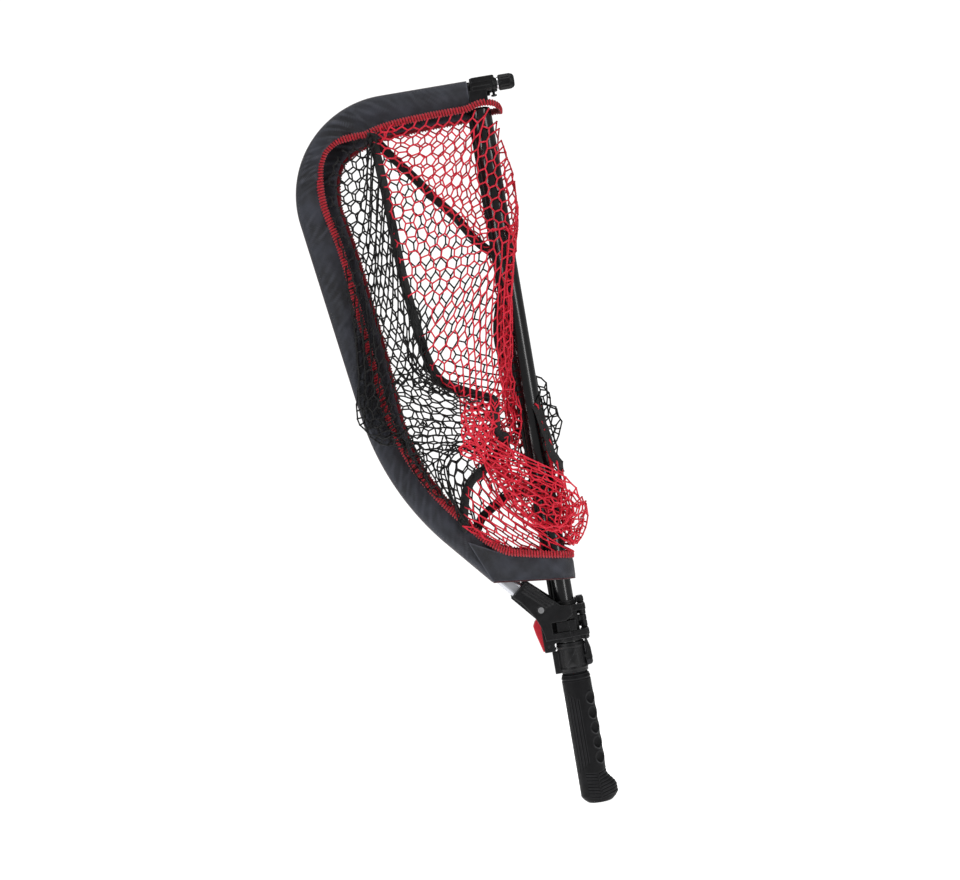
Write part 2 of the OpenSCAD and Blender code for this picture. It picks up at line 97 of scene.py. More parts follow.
def smooth_line(points, rounds):
    """Averages neighbours, with the ends held."""
    line = np.array(points, float)
    for _ in range(rounds):
        line[1:-1] = (line[:-2] + 2 * line[1:-1] + line[2:]) / 4
    return line


def tangents(points):
    t = np.gradient(points, axis=0)
    return t / np.maximum(np.linalg.norm(t, axis=1, keepdims=True), 1e-9)


def new_mesh(name, vertices, faces, smooth=True):
    """A mesh object from points in mm."""
    mesh = bpy.data.meshes.new(name)
    mesh.from_pydata((np.asarray(vertices, float) * MM).tolist(), [], [list(map(int, f)) for f in faces])
    mesh.update()
    if smooth:
        mesh.polygons.foreach_set("use_smooth", [True] * len(mesh.polygons))
    obj = bpy.data.objects.new(name, mesh)
    bpy.context.scene.collection.objects.link(obj)
    return obj


def grid_faces(rows, columns, wrap=False, first=0):
    """Quads of a grid of points, row after row. With wrap, each row is a closed ring."""
    r, c = np.meshgrid(np.arange(rows - 1), np.arange(columns if wrap else columns - 1), indexing="ij")
    a = r * columns + c
    b = r * columns + (c + 1) % columns
    return (np.stack([a, b, b + columns, a + columns], axis=-1).reshape(-1, 4) + first).tolist()


def swept_rings(line, section, normal):
    """Rings of a section along a line. A section point is (across, out), out along normal."""
    t = tangents(line)
    out = np.asarray(normal, float)
    out = out - (out * t).sum(1, keepdims=True) * t
    out /= np.maximum(np.linalg.norm(out, axis=1, keepdims=True), 1e-9)
    across = np.cross(t, out)
    section = np.asarray(section, float)
    return (line[:, None] + across[:, None] * section[None, :, :1]
            + out[:, None] * section[None, :, 1:2]).reshape(-1, 3)


def tube_faces(rows, columns, first=0):
    """Quads of a tube of rings, with both ends closed."""
    faces = grid_faces(rows, columns, wrap=True, first=first)
    faces.append([first + i for i in range(columns)][::-1])
    faces.append([first + (rows - 1) * columns + i for i in range(columns)])
    return faces


def sweep(line, section, normal, first=0):
    """Points and faces of a closed section swept along a line, with both ends closed."""
    return swept_rings(line, section, normal), tube_faces(len(line), len(section), first)


def circle_section(radius, sides=8):
    return [(radius * math.cos(a), radius * math.sin(a))
            for a in np.linspace(0, 2 * math.pi, sides, endpoint=False)]


def mirrored(points):
    """The same points on the other side of the fold plane."""
    return np.asarray(points) * [1, -1, 1]


def flipped(faces):
    return [list(f)[::-1] for f in faces]


def half_mesh(name, y_side, points, faces):
    """A mesh built for the front half, or its mirror image for the rear half."""
    if y_side > 0:
        return new_mesh(name, mirrored(points), flipped(faces))
    return new_mesh(name, points, faces)


def thread_row(name, y_side, loops, section, normals):
    """One mesh of many short threads, each swept along its own line."""
    points, faces, first = [], [], 0
    for loop, normal in zip(loops, normals):
        ring, ring_faces = sweep(loop, section, np.tile(normal, (len(loop), 1)), first)
        points.append(ring)
        faces.extend(ring_faces)
        first += len(ring)
    return half_mesh(name, y_side, np.vstack(points), faces)


def thicken(obj, thickness, offset):
    """Gives a sheet of cloth its thickness, in mm."""
    wall = obj.modifiers.new("cloth_thickness", "SOLIDIFY")
    wall.thickness = thickness * MM
    wall.offset = offset


# ---- the hoop's path, as in the CAD --------------------------------------

def hoop_path(last_len, step=2.5):
    """Centre line of the hoop from the tip, as (x, z, heading) rows about step apart."""
    rows = []
    x, z, heading = -10.0, TUBE_Z, math.pi

    def straight(length):
        nonlocal x, z
        count = max(1, int(length / step))
        for _ in range(count):
            rows.append((x, z, heading))
            x += length / count * math.cos(heading)
            z += length / count * math.sin(heading)

    def bend(radius, degrees):
        nonlocal x, z, heading
        turn = math.radians(degrees)
        count = max(1, int(radius * turn / step))
        for _ in range(count):
            rows.append((x, z, heading))
            middle = heading + turn / count / 2
            chord = 2 * radius * math.sin(turn / count / 2)
            x += chord * math.cos(middle)
            z += chord * math.sin(middle)
            heading += turn / count

    straight(TOP_LEN)
    bend(CORNER_R, CORNER_TURN)
    straight(SIDE_LEN)
    bend(LOWER_R, LOWER_TURN)
    straight(last_len)
    rows.append((x, z, heading))
    return np.array(rows)


def path_frame(path):
    """Distance along the path, its points and its inward directions in the X-Z plane."""
    s = polyline_length(path[:, :2])
    inward = np.stack([-np.sin(path[:, 2]), np.cos(path[:, 2])], axis=1)
    return s, path[:, :2], inward


# How far the sleeve's inner edge lies from the tube's centre line, along the hoop.
EDGE_S = [0, 40, 79, 110, 128, 150, 165, 182, 200, 216, 240, 300, 330, 420, 480, 560, 640, 722]
FRONT_EDGE = [19, 19, 20.5, 24, 25, 17, 10, 7, 9, 13, 17, 22, 22, 18, 16, 17, 19, 18]
REAR_EDGE = [25.5, 26, 27.5, 30, 31, 29, 27, 26, 28, 30, 32, 35, 35, 33, 29, 23, 20, 18]


def edge_offset(s, table):
    return np.interp(s, EDGE_S, table)


# ---- materials -----------------------------------------------------------

class Nodes:
    """Builds one material's node tree."""

    def __init__(self, name):
        self.material = bpy.data.materials.new(name)
        self.material.use_nodes = True
        self.tree = self.material.node_tree
        self.shader = self.tree.nodes["Principled BSDF"]
        self.position = self.add("ShaderNodeTexCoord").outputs["Object"]

    def add(self, kind, **values):
        node = self.tree.nodes.new(kind)
        for key, value in values.items():
            setattr(node, key, value)
        return node

    def link(self, source, target):
        self.tree.links.new(source, target)

    def set(self, **values):
        """Sets sockets of the shader by name, with _ for a space."""
        for key, value in values.items():
            self.shader.inputs[key.replace("_", " ")].default_value = value

    def scaled(self, scale, turn=(0, 0, 0)):
        mapping = self.add("ShaderNodeMapping")
        mapping.inputs["Scale"].default_value = scale
        mapping.inputs["Rotation"].default_value = turn
        self.link(self.position, mapping.inputs["Vector"])
        return mapping.outputs["Vector"]

    def noise(self, scale, detail=3.0, vector=None):
        node = self.add("ShaderNodeTexNoise")
        node.inputs["Scale"].default_value = scale
        node.inputs["Detail"].default_value = detail
        self.link(vector or self.position, node.inputs["Vector"])
        return node.outputs["Fac"]

    def wave(self, scale, vector, direction="X", distortion=0.0):
        node = self.add("ShaderNodeTexWave", wave_type="BANDS", bands_direction=direction)
        node.inputs["Scale"].default_value = scale
        node.inputs["Distortion"].default_value = distortion
        self.link(vector, node.inputs["Vector"])
        return node.outputs["Fac"]

    def ramp(self, fac, stops):
        """Colour stops as (place, (r, g, b))."""
        node = self.add("ShaderNodeValToRGB")
        elements = node.color_ramp.elements
        while len(elements) < len(stops):
            elements.new(0.5)
        for element, (place, colour) in zip(elements, stops):
            element.position = place
            element.color = (*colour, 1)
        self.link(fac, node.inputs["Fac"])
        return node.outputs["Color"]

    def math(self, operation, a, b):
        node = self.add("ShaderNodeMath", operation=operation)
        for value, socket in zip((a, b), node.inputs):
            if isinstance(value, (int, float)):
                socket.default_value = value
            else:
                self.link(value, socket)
        return node.outputs["Value"]

    def mix(self, fac, a, b):
        node = self.add("ShaderNodeMix", data_type="RGBA")
        self.link(fac, node.inputs[0])
        for value, socket in ((a, node.inputs[6]), (b, node.inputs[7])):
            if isinstance(value, tuple):
                socket.default_value = (*value, 1)
            else:
                self.link(value, socket)
        return node.outputs[2]

    def edges(self, low, high):
        """0 on flat faces, 1 on outer edges."""
        pointiness = self.add("ShaderNodeNewGeometry").outputs["Pointiness"]
        return self.ramp(pointiness, [(low, (0, 0, 0)), (high, (1, 1, 1))])

    def colour(self, source):
        self.link(source, self.shader.inputs["Base Color"])

    def roughness(self, fac, low, high):
        node = self.add("ShaderNodeMapRange")
        node.inputs["To Min"].default_value = low
        node.inputs["To Max"].default_value = high
        self.link(fac, node.inputs["Value"])
        self.link(node.outputs["Result"], self.shader.inputs["Roughness"])

    def bump(self, height, distance, strength=1.0):
        node = self.add("ShaderNodeBump")
        node.inputs["Distance"].default_value = distance
        node.inputs["Strength"].default_value = strength
        self.link(height, node.inputs["Height"])
        previous = self.shader.inputs["Normal"].links
        if previous:
            self.link(previous[0].from_socket, node.inputs["Normal"])
        self.link(node.outputs["Normal"], self.shader.inputs["Normal"])


def moulded_plastic(name, dark, light, edge_highlight, rough):
    """Spark-textured moulding: fine grain, faint mottling and paler edges, which are a painted highlight."""
    n = Nodes(name)
    grain = n.noise(2600, 2)
    mottle = n.noise(90, 5)
    body = n.ramp(mottle, [(0.3, dark), (0.75, light)])
    # The paler outer edges, found by pointiness, are a painted highlight.
    n.colour(n.mix(n.edges(0.52, 0.62), body, edge_highlight))
    n.roughness(n.noise(240, 4), rough[0], rough[1])
    n.bump(grain, 0.00012)
    n.bump(n.noise(700, 2), 0.00008)
    n.set(Specular_IOR_Level=0.24)
    return n.material


def grip_rubber(name):
    """Soft grip rubber with a dry surface and a painted highlight on its outer edges."""
    n = Nodes(name)
    body = n.ramp(n.noise(70, 6), [(0.3, (0.0025, 0.0025, 0.003)), (0.8, (0.007, 0.007, 0.008))])
    # The paler outer edges, found by pointiness, are a painted highlight.
    n.colour(n.mix(n.edges(0.51, 0.6), body, (0.075, 0.076, 0.08)))
    n.roughness(n.noise(300, 3), 0.42, 0.62)
    n.bump(n.noise(1800, 3), 0.00018)
    n.set(Specular_IOR_Level=0.12)
    return n.material


def gloss_black_metal(name):
    """Gloss anodised tube with faint lengthwise drawing marks and rubbed patches."""
    n = Nodes(name)
    drawn = n.noise(30, 4, n.scaled((60, 60, 0.6)))
    rubbed = n.noise(14, 6)
    n.colour(n.ramp(rubbed, [(0.35, (0.002, 0.002, 0.0025)), (0.8, (0.006, 0.006, 0.007))]))
    n.roughness(drawn, 0.16, 0.3)
    n.bump(drawn, 0.00002)
    n.set(Coat_Weight=0.3, Coat_Roughness=0.12, Specular_IOR_Level=0.45)
    return n.material


def bright_metal(name, tint, rough, scale):
    """Plated or anodised metal with brushed streaks."""
    n = Nodes(name)
    streaks = n.noise(40, 4, n.scaled(scale))
    dull = tuple(c * 0.8 for c in tint)
    n.colour(n.ramp(streaks, [(0.25, dull), (0.75, tint)]))
    n.roughness(streaks, rough[0], rough[1])
    n.bump(streaks, 0.00002)
    n.set(Metallic=1.0)
    return n.material


def gloss_red_plastic(name):
    n = Nodes(name)
    n.colour(n.ramp(n.noise(120, 4), [(0.3, (0.52, 0.008, 0.022)), (0.8, (0.68, 0.014, 0.035))]))
    n.roughness(n.noise(300, 3), 0.24, 0.38)
    n.bump(n.noise(900, 2), 0.00006)
    n.set(Coat_Weight=0.25, Coat_Roughness=0.2)
    return n.material


def coated_nylon(name):
    """Dark coated woven nylon: twill bump, bleached patches, a soft sheen and a painted highlight on the
    crests of its folds.
    """
    n = Nodes(name)
    patches = n.noise(34, 8)
    fine = n.noise(240, 5)
    cloth = n.ramp(patches, [(0.34, (0.004, 0.0045, 0.007)), (0.52, (0.012, 0.0135, 0.021)),
                             (0.7, (0.034, 0.038, 0.055))])
    speckled = n.mix(n.ramp(fine, [(0.42, (0, 0, 0)), (0.75, (0.6, 0.6, 0.6))]), cloth, (0.03, 0.032, 0.044))
    # Paler on fold crests and edges, found by pointiness: a painted highlight that brings out the wrinkles.
    n.colour(n.mix(n.edges(0.5, 0.56), speckled, (0.072, 0.076, 0.098)))
    n.roughness(fine, 0.42, 0.7)
    weave = n.math("ADD", n.wave(520, n.scaled((1, 1, 1), (0, 0.6, 0)), "X"),
                   n.wave(520, n.scaled((1, 1, 1), (0, 0.6, 0)), "Z"))
    n.bump(weave, 0.00016)
    n.bump(n.noise(90, 5), 0.0009)
    n.set(Sheen_Weight=0.12, Sheen_Roughness=0.35)
    return n.material


def thread(name, dark, light):
    """Bound edge thread: fine twisted fibres."""
    n = Nodes(name)
    n.colour(n.ramp(n.noise(500, 4), [(0.3, dark), (0.7, light)]))
    n.roughness(n.noise(900, 2), 0.5, 0.75)
    n.bump(n.wave(1300, n.scaled((1, 1, 1), (0.5, 0.6, 0.4)), "X", 2.0), 0.00015)
    n.set(Sheen_Weight=0.3, Sheen_Roughness=0.3)
    return n.material


def coated_mesh(name, dark, light, rough):
    """Rubber-coated netting: uneven dip coating, satin shine."""
    n = Nodes(name)
    n.colour(n.ramp(n.noise(160, 5), [(0.3, dark), (0.75, light)]))
    n.roughness(n.noise(420, 3), rough[0], rough[1])
    n.bump(n.noise(1500, 2), 0.0001)
    n.set(Specular_IOR_Level=0.35)
    return n.material


def woven_tape(name):
    """Black seam tape with a rib across its width."""
    n = Nodes(name)
    n.colour(n.ramp(n.noise(300, 5), [(0.3, (0.002, 0.002, 0.0022)), (0.8, (0.010, 0.010, 0.011))]))
    n.roughness(n.noise(500, 3), 0.6, 0.85)
    n.bump(n.wave(700, n.scaled((1, 1, 1), (0, 0.3, 0)), "Z"), 0.00015)
    n.set(Sheen_Weight=0.15, Sheen_Roughness=0.4)
    return n.material


MATERIALS = {
    "pole_black": gloss_black_metal("pole_black_finish"),
    # For each moulded plastic, the third colour is its painted edge highlight.
    "black_plastic": moulded_plastic("black_plastic_finish", (0.003, 0.003, 0.0035),
                                     (0.009, 0.009, 0.010), (0.05, 0.052, 0.056), (0.3, 0.48)),
    "grey_plastic": moulded_plastic("grey_plastic_finish", (0.05, 0.05, 0.055),
                                    (0.09, 0.09, 0.1), (0.16, 0.16, 0.17), (0.4, 0.6)),
    "grip_rubber": grip_rubber("grip_rubber_finish"),
    "red_plastic": gloss_red_plastic("red_plastic_finish"),
    "dark_steel": bright_metal("dark_steel_finish", (0.06, 0.06, 0.065), (0.3, 0.45), (60, 4, 60)),
    "steel": bright_metal("steel_finish", (0.75, 0.75, 0.77), (0.12, 0.28), (60, 4, 60)),
    "frame_aluminium": bright_metal("aluminium_finish", (0.62, 0.63, 0.67), (0.3, 0.48), (4, 60, 60)),
    "sleeve_fabric": coated_nylon("sleeve_fabric_finish"),
    "binding_red": thread("binding_red_finish", (0.48, 0.006, 0.018), (0.85, 0.016, 0.045)),
    "net_red": coated_mesh("net_red_finish", (0.60, 0.010, 0.028), (0.88, 0.026, 0.064), (0.34, 0.52)),
    "net_black": coated_mesh("net_black_finish", (0.002, 0.002, 0.0022), (0.008, 0.008, 0.0085),
                             (0.36, 0.55)),
    "seam_tape": woven_tape("seam_tape_finish"),
    "binding_tape": thread("binding_tape_finish", (0.16, 0.003, 0.010), (0.42, 0.008, 0.022)),
    "piping": thread("piping_finish", (0.02, 0.004, 0.006), (0.09, 0.008, 0.014)),
    "thread_grey": thread("thread_grey_finish", (0.05, 0.052, 0.06), (0.14, 0.145, 0.16)),
}


def dress(obj, slot, material=None):
    """Gives a piece its material: the one for its slot, unless another is named."""
    obj.data.materials.clear()
    obj.data.materials.append(MATERIALS[material or slot])


def to_spine(obj):
    """A soft piece of one hoop half, with its placement baked into its points; it is attached to no body."""
    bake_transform(obj)


# ---- CAD nodes: their finish, and copies with rounder moulded edges ------

BLACKENED = ["hinge_pin", "hinge_pin_clip", "tip_hinge_pin", "clamp_bolt", "clamp_nut", "latch_pawl",
             "trigger_pin", "trigger_spring"]


def finish_cad_nodes():
    for part in frame["record"]["subparts"]:
        obj = frame["nodes"][part["node"]]
        finish = "dark_steel" if part["node"] in BLACKENED else part["material_slot"]
        obj.data.materials.clear()
        obj.data.materials.append(MATERIALS[finish])


MOULDED = {"head_housing": "head", "clamp_collar": "head", "clamp_lever": "clamp_lever",
           "front_arm": "front_half", "rear_arm": "rear_half", "front_tip_fitting": "front_half",
           "rear_tip_fitting": "rear_half", "tip_knob": "tip_lock", "trigger": "trigger"}


VOXEL, RELAX_ROUNDS, REFILL = 0.55, 4, 0.14   # how a copy's edges are rounded; sizes in mm
# The arms' knuckles turn in each other and in the housing, so these keep their gap.
CLOSE_FITTING = ["front_arm", "rear_arm", "head_housing"]


def moulding(node, body):
    """A copy of a moulded part with rounder edges, which stands for the CAD node."""
    source = frame["nodes"][node]
    mesh = source.data.copy()
    mesh.transform(source.matrix_world)
    obj = bpy.data.objects.new(node + "_moulding", mesh)
    bpy.context.scene.collection.objects.link(obj)
    weld = obj.modifiers.new("weld", "WELD")
    weld.merge_threshold = 0.01 * MM
    remesh = obj.modifiers.new("remesh", "REMESH")
    remesh.mode = "VOXEL"
    remesh.voxel_size = VOXEL * MM
    remesh.use_smooth_shade = True
    relax = obj.modifiers.new("relax", "SMOOTH")
    relax.factor = 0.5
    relax.iterations = RELAX_ROUNDS
    if node not in CLOSE_FITTING:
        refill = obj.modifiers.new("refill", "DISPLACE")
        refill.strength = REFILL * MM
        refill.mid_level = 0
    dress(obj, "red_plastic" if node == "trigger" else "black_plastic")
    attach(obj, body)
    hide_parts(node)


# ---- grip ----------------------------------------------------------------

GRIP_R, GRIP_TOP, BUTT_Z = 16.0, 70.0, -71.7
HEEL_X = 9.3                 # how far the heel's round right end stands out
HEEL_END, BUTT_TOP, BUTT_LEN = -64, -65, 6.7
GROOVES = (140, 126, 112, 98)         # directions of the long grooves, in degrees
PAD_TOP, PAD_PITCH, PAD_TURN = 43, 16.4, 47
PAD_RING_R, PAD_RING_WIDTH = 5.6, 0.95
SLOTS_TOP, SLOT_PITCH, SLOT_COUNT = -40.0, 3.6, 8
SLOT_DEPTH = 0.95


def smoothstep(low, high, value):
    t = np.clip((value - low) / (high - low), 0, 1)
    return t * t * (3 - 2 * t)


def rib_row(z, first, pitch, count):
    """1 in the middle of each of a row of slots, 0 between them."""
    place = (first - z) / pitch
    inside_row = (place > -0.5) & (place < count - 0.5)
    return np.where(inside_row, np.clip(1.6 * np.cos(2 * math.pi * place) - 0.4, 0, 1), 0)


def around_grip(degrees):
    return degrees * math.pi / 180 * GRIP_R


def grip_relief(turn, x, z):
    """How far the rubber stands out from the plain grip; turn is 0 at +X, positive to the front."""
    relief = np.zeros_like(z)
    mirrored_turn = np.abs(np.degrees(turn))
    for k, at in enumerate(GROOVES):
        off = around_grip(mirrored_turn - at)
        length = smoothstep(-38 + 3 * k, -35 + 3 * k, z) * (1 - smoothstep(48 - 2 * k, 51 - 2 * k, z))
        relief -= 0.95 * np.exp(-(off / 0.75) ** 4) * length
    for k in range(5):
        across = around_grip(mirrored_turn - PAD_TURN)
        along = z - (PAD_TOP - PAD_PITCH * k)
        reach = np.hypot(across, along * 0.86)
        ring = np.exp(-((reach - PAD_RING_R) / PAD_RING_WIDTH) ** 2)
        relief -= 1.5 * np.exp(-(reach / 4.3) ** 4)
        relief += 1.15 * ring * smoothstep(-3, 3, across * -0.4 - along)
        relief += 0.5 * ring
        relief += 0.9 * np.exp(-(along / 5.5) ** 2) * np.exp(-((mirrored_turn - 14) / 26) ** 2)
    front = smoothstep(15, 28, mirrored_turn) * (1 - smoothstep(122, 130, mirrored_turn))
    left = front * (1 - smoothstep(4.6, 5.6, x)) * smoothstep(-8, -7, x)
    right = smoothstep(6.6, 7.6, x)
    relief -= SLOT_DEPTH * left * rib_row(z + 0.12 * (x - 5), SLOTS_TOP, SLOT_PITCH, SLOT_COUNT)
    relief -= SLOT_DEPTH * right * rib_row(z - 0.22 * (x - 7), SLOTS_TOP, SLOT_PITCH, SLOT_COUNT)
    relief -= 0.7 * np.exp(-((z - 64.5) / 0.7) ** 2)
    return relief


def grip_moulding():
    """One rubber moulding over grip and butt, with grooves, finger pads and heel ribs."""
    z = np.r_[np.linspace(GRIP_TOP, HEEL_END, 300), np.linspace(HEEL_END - 0.6, BUTT_Z, 12)]
    turn = np.linspace(-math.pi, math.pi, 240, endpoint=False)
    z, turn = np.meshgrid(z, turn, indexing="ij")
    radius = GRIP_R - smoothstep(66, 70, z)
    into_butt = (BUTT_TOP - z) / BUTT_LEN
    radius = np.where(z < BUTT_TOP, GRIP_R - 0.3 - 3.4 * into_butt ** 2, radius)
    heel = smoothstep(40, 57, -z) * HEEL_X
    heel = np.where(z < HEEL_END, HEEL_X - (HEEL_END - z) * 0.5, heel)
    x = heel * (0.5 + 0.5 * np.tanh(np.cos(turn) / 0.35)) + radius * np.cos(turn)
    shift = np.where(z < BUTT_TOP, 2.7 * into_butt, 0)
    relief = grip_relief(turn, x, z) * smoothstep(-69, -66, z)
    x = x + shift * (np.cos(turn) < 0) + relief * np.cos(turn)
    y = -(radius + relief) * np.sin(turn)
    rows, columns = z.shape
    points = np.stack([x, y, z], axis=-1)
    neck_low, neck_high = points[0] * [0.93, 0.93, 1], points[0] * [0.93, 0.93, 1] + [0, 0, 2.5]
    bore = neck_high * [0.87, 0.87, 1]
    butt_middle = np.array([4.0, 0, BUTT_Z])
    foot = butt_middle + (points[-1] - butt_middle) * [0.6, 0.6, 1]
    points = np.vstack([bore[None], neck_high[None], neck_low[None], points, foot[None]]).reshape(-1, 3)
    obj = new_mesh("grip_moulding", points, tube_faces(rows + 4, columns))
    dress(obj, "grip_rubber")
    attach(obj, "handle")
    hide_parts("grip_cover", "butt_cap")


# ---- clamp details -------------------------------------------------------

def curved_pad(name, body, slot, radii, half_turn, z, middle=0.0):
    """A pad with rounded corners, bent round the pole's axis; middle is its direction in degrees."""
    sides = 28
    outline = []
    for a in np.linspace(0, 2 * math.pi, 4 * sides, endpoint=False):
        c, w = math.cos(a), math.sin(a)
        outline.append((np.sign(c) * abs(c) ** 0.35, np.sign(w) * abs(w) ** 0.35))
    outline = np.array(outline)
    middle_z, half_z = (z[0] + z[1]) / 2, (z[1] - z[0]) / 2
    low, high = radii
    rings = []
    for scale, radius in ((0.94, low), (1.0, low + 0.15 * (high - low)), (1.0, high - 0.3 * (high - low)),
                          (0.97, high - 0.08 * (high - low)), (0.9, high), (0.45, high), (0.02, high)):
        turn = np.radians(middle + half_turn * scale * outline[:, 0])
        height = middle_z + (half_z - (1 - scale) * 1.5) * outline[:, 1] * (1 if scale > 0.8 else scale)
        rings.append(np.stack([radius * np.cos(turn), -radius * np.sin(turn), height], axis=1))
    obj = new_mesh(name, np.vstack(rings), flipped(tube_faces(len(rings), len(outline))))
    dress(obj, slot)
    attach(obj, body)


def clamp_details():
    """The collar's raised front panel, and the lever's pale pad."""
    curved_pad("collar_panel", "head", "black_plastic", (15.0, 15.9), 30, (79.5, 99.5), middle=97)
    curved_pad("lever_pad", "clamp_lever", "grey_plastic", (15.5, 16.9), 22, (89.5, 103.5))


# ---- fabric sleeves ------------------------------------------------------

def sleeve_section(edge):
    """Half-outline of the sleeve as (inward, thickness) pairs, outer edge to inner edge."""
    tube = 9.6
    half = 6.4
    points = []
    for a in np.linspace(0, 90, 9):
        points.append((-tube + half * (1 - math.cos(math.radians(a))), half * math.sin(math.radians(a))))
    for t in np.linspace(0, 1, 14)[1:]:
        inward = -tube + half + t * (edge + tube - half)
        fade = 1 / (1 + math.exp(-(inward - 11.0) / 2.4))
        crown = 0.9 * max(0.0, (inward - 1.0) / 9.0) ** 2 * (1 - fade)
        points.append((inward, (half - crown) * (1 - fade) + 1.1 * fade))
    points.append((edge + 0.7, 0.0))
    return points


def wrinkles(s, inward, rng_seed):
    """Height of the cloth's folds: crisp leaning pleats, deepest where the sleeve turns a corner."""
    rng = np.random.default_rng(rng_seed)
    corner = 0.42 + np.exp(-((s - 195) / 80) ** 2) + 0.4 * np.exp(-((s - 560) / 90) ** 2)
    pleats = np.zeros_like(s)
    for _ in range(5):
        length = rng.uniform(11, 24)
        lean = rng.uniform(0.5, 1.3)
        phase = rng.uniform(0, 2 * math.pi)
        drift = 2.2 * np.sin(2 * math.pi * s / rng.uniform(50, 90) + phase)
        ridge = 1 - np.abs(np.sin(math.pi * (s + lean * inward + drift) / length + phase))
        patch = 0.5 + 0.5 * np.sin(2 * math.pi * s / rng.uniform(35, 80) + 2 * phase)
        pleats += ridge ** 2 * patch
    calm = np.zeros_like(s)
    for _ in range(6):
        length = rng.uniform(28, 70)
        phase = rng.uniform(0, 2 * math.pi)
        calm += np.sin(2 * math.pi * (s + rng.uniform(-1.5, 1.5) * inward) / length + phase)
    return 1.15 * pleats * corner + 0.25 * calm


def sleeve(name, half, y_side, table, node):
    """Cloth tube round a hoop tube, with a free inner hem."""
    path = hoop_path(END_LEN, 1.2)
    s, centre, inward = path_frame(path)
    edges = edge_offset(s, table)
    rows = []
    for edge in edges:
        outline = sleeve_section(edge)
        rows.append(outline + [(u, -v) for u, v in outline[-2:0:-1]])
    ring = np.array(rows)
    u, v = ring[..., 0], ring[..., 1]
    fold = wrinkles(np.broadcast_to(s[:, None], u.shape), u, 11 + y_side)
    strength = np.clip((u + 9.0) / 6.0, 0, 1) * np.clip((edges[:, None] + 0.5 - u) / 3.0, 0.15, 1)
    v = v + np.sign(v) * fold * strength
    x = centre[:, None, 0] + u * inward[:, None, 0]
    z = centre[:, None, 1] + u * inward[:, None, 1]
    y = y_side * (HALF_GAP + v)
    points = np.stack([x, y, z], axis=-1).reshape(-1, 3)
    faces = grid_faces(len(path), ring.shape[1], wrap=True)
    obj = new_mesh(name, points, faces if y_side < 0 else flipped(faces))
    thicken(obj, 0.45, -1)
    dress(obj, "sleeve_fabric")
    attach(obj, half)
    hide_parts(node)


PIPING_OFFSET, STITCHES_OFFSET = -9.75, -6.9   # from the tube's centre line, inward


def beside_tube(offset, depth, step=4.0):
    """A line along the hoop at an offset from its centre line, on the front half."""
    path = hoop_path(END_LEN, step)
    _, centre, inward = path_frame(path)
    at = centre + offset * inward
    return np.stack([at[:, 0], np.full(len(at), -depth), at[:, 1]], axis=1)


def piping(name, half, y_side):
    """Thin cord sewn along the sleeve's outer edge."""
    line = beside_tube(PIPING_OFFSET, HALF_GAP)
    points, faces = sweep(line, circle_section(0.75, 6), np.tile([0, -1.0, 0], (len(line), 1)))
    obj = half_mesh(name, y_side, points, faces)
    dress(obj, "binding_red", "piping")
    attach(obj, half)


def seam_stitches(name, half, y_side):
    """A row of stitches just inside the piping."""
    line = beside_tube(STITCHES_OFFSET, HALF_GAP + 5.6, 0.9)
    arch = np.array([[0, 0.5, 0], [0, -0.1, 0], [0, 0.5, 0]])
    dashes = [line[k:k + 3] + arch for k in range(3, len(line) - 4, 4)]
    obj = thread_row(name, y_side, dashes, circle_section(0.36, 5), [[0, -1.0, 0]] * len(dashes))
    dress(obj, "sleeve_fabric", "thread_grey")
    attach(obj, half)


# ---- red bound edge ------------------------------------------------------

BINDING_STOP = 34            # the binding leaves the hoop this far before its end


def binding_line(table):
    """Middle line of the front binding: from the spine's top round the hoop to the spine's foot."""
    path = hoop_path(END_LEN, 3)
    s, centre, inward = path_frame(path)
    keep = s < s[-1] - BINDING_STOP
    at = (centre + (edge_offset(s, table)[:, None] + 1.6) * inward)[keep]
    hoop = np.stack([at[:, 0], np.full(len(at), -HALF_GAP - 2.5), at[:, 1]], axis=1)
    drop = table[0] - FRONT_EDGE[0]
    over_pole = [(22.5, 0, 694), (20.5, -8.0, 698 - 0.3 * drop), (14, -13.5, 701.5 - 0.7 * drop),
                 (4, -16.5, 703 - drop), (-5, -16.5, 701.5 - drop)]
    foot = [(-60, -18.5, 221), (-49, -20.5, 214.5), (-20, -21, 208), (4, -20.5, 203.5),
            (14, -14.5, 201.5), (17.8, -7.5, 200.5), (18.6, 0, 200)]
    return smooth_line(resample(np.vstack([over_pole, hoop[2:], foot]), 420), 4)


def outward(line):
    """Outward direction of the bag's surface: along Y beside the hoop, radial round the pole."""
    out = np.zeros_like(line)
    out[:, 0] = np.clip(line[:, 0], 0, None) * 0.9
    out[:, 1] = line[:, 1]
    return out / np.maximum(np.linalg.norm(out, axis=1, keepdims=True), 1e-6)


THREAD_PITCH = 3.1


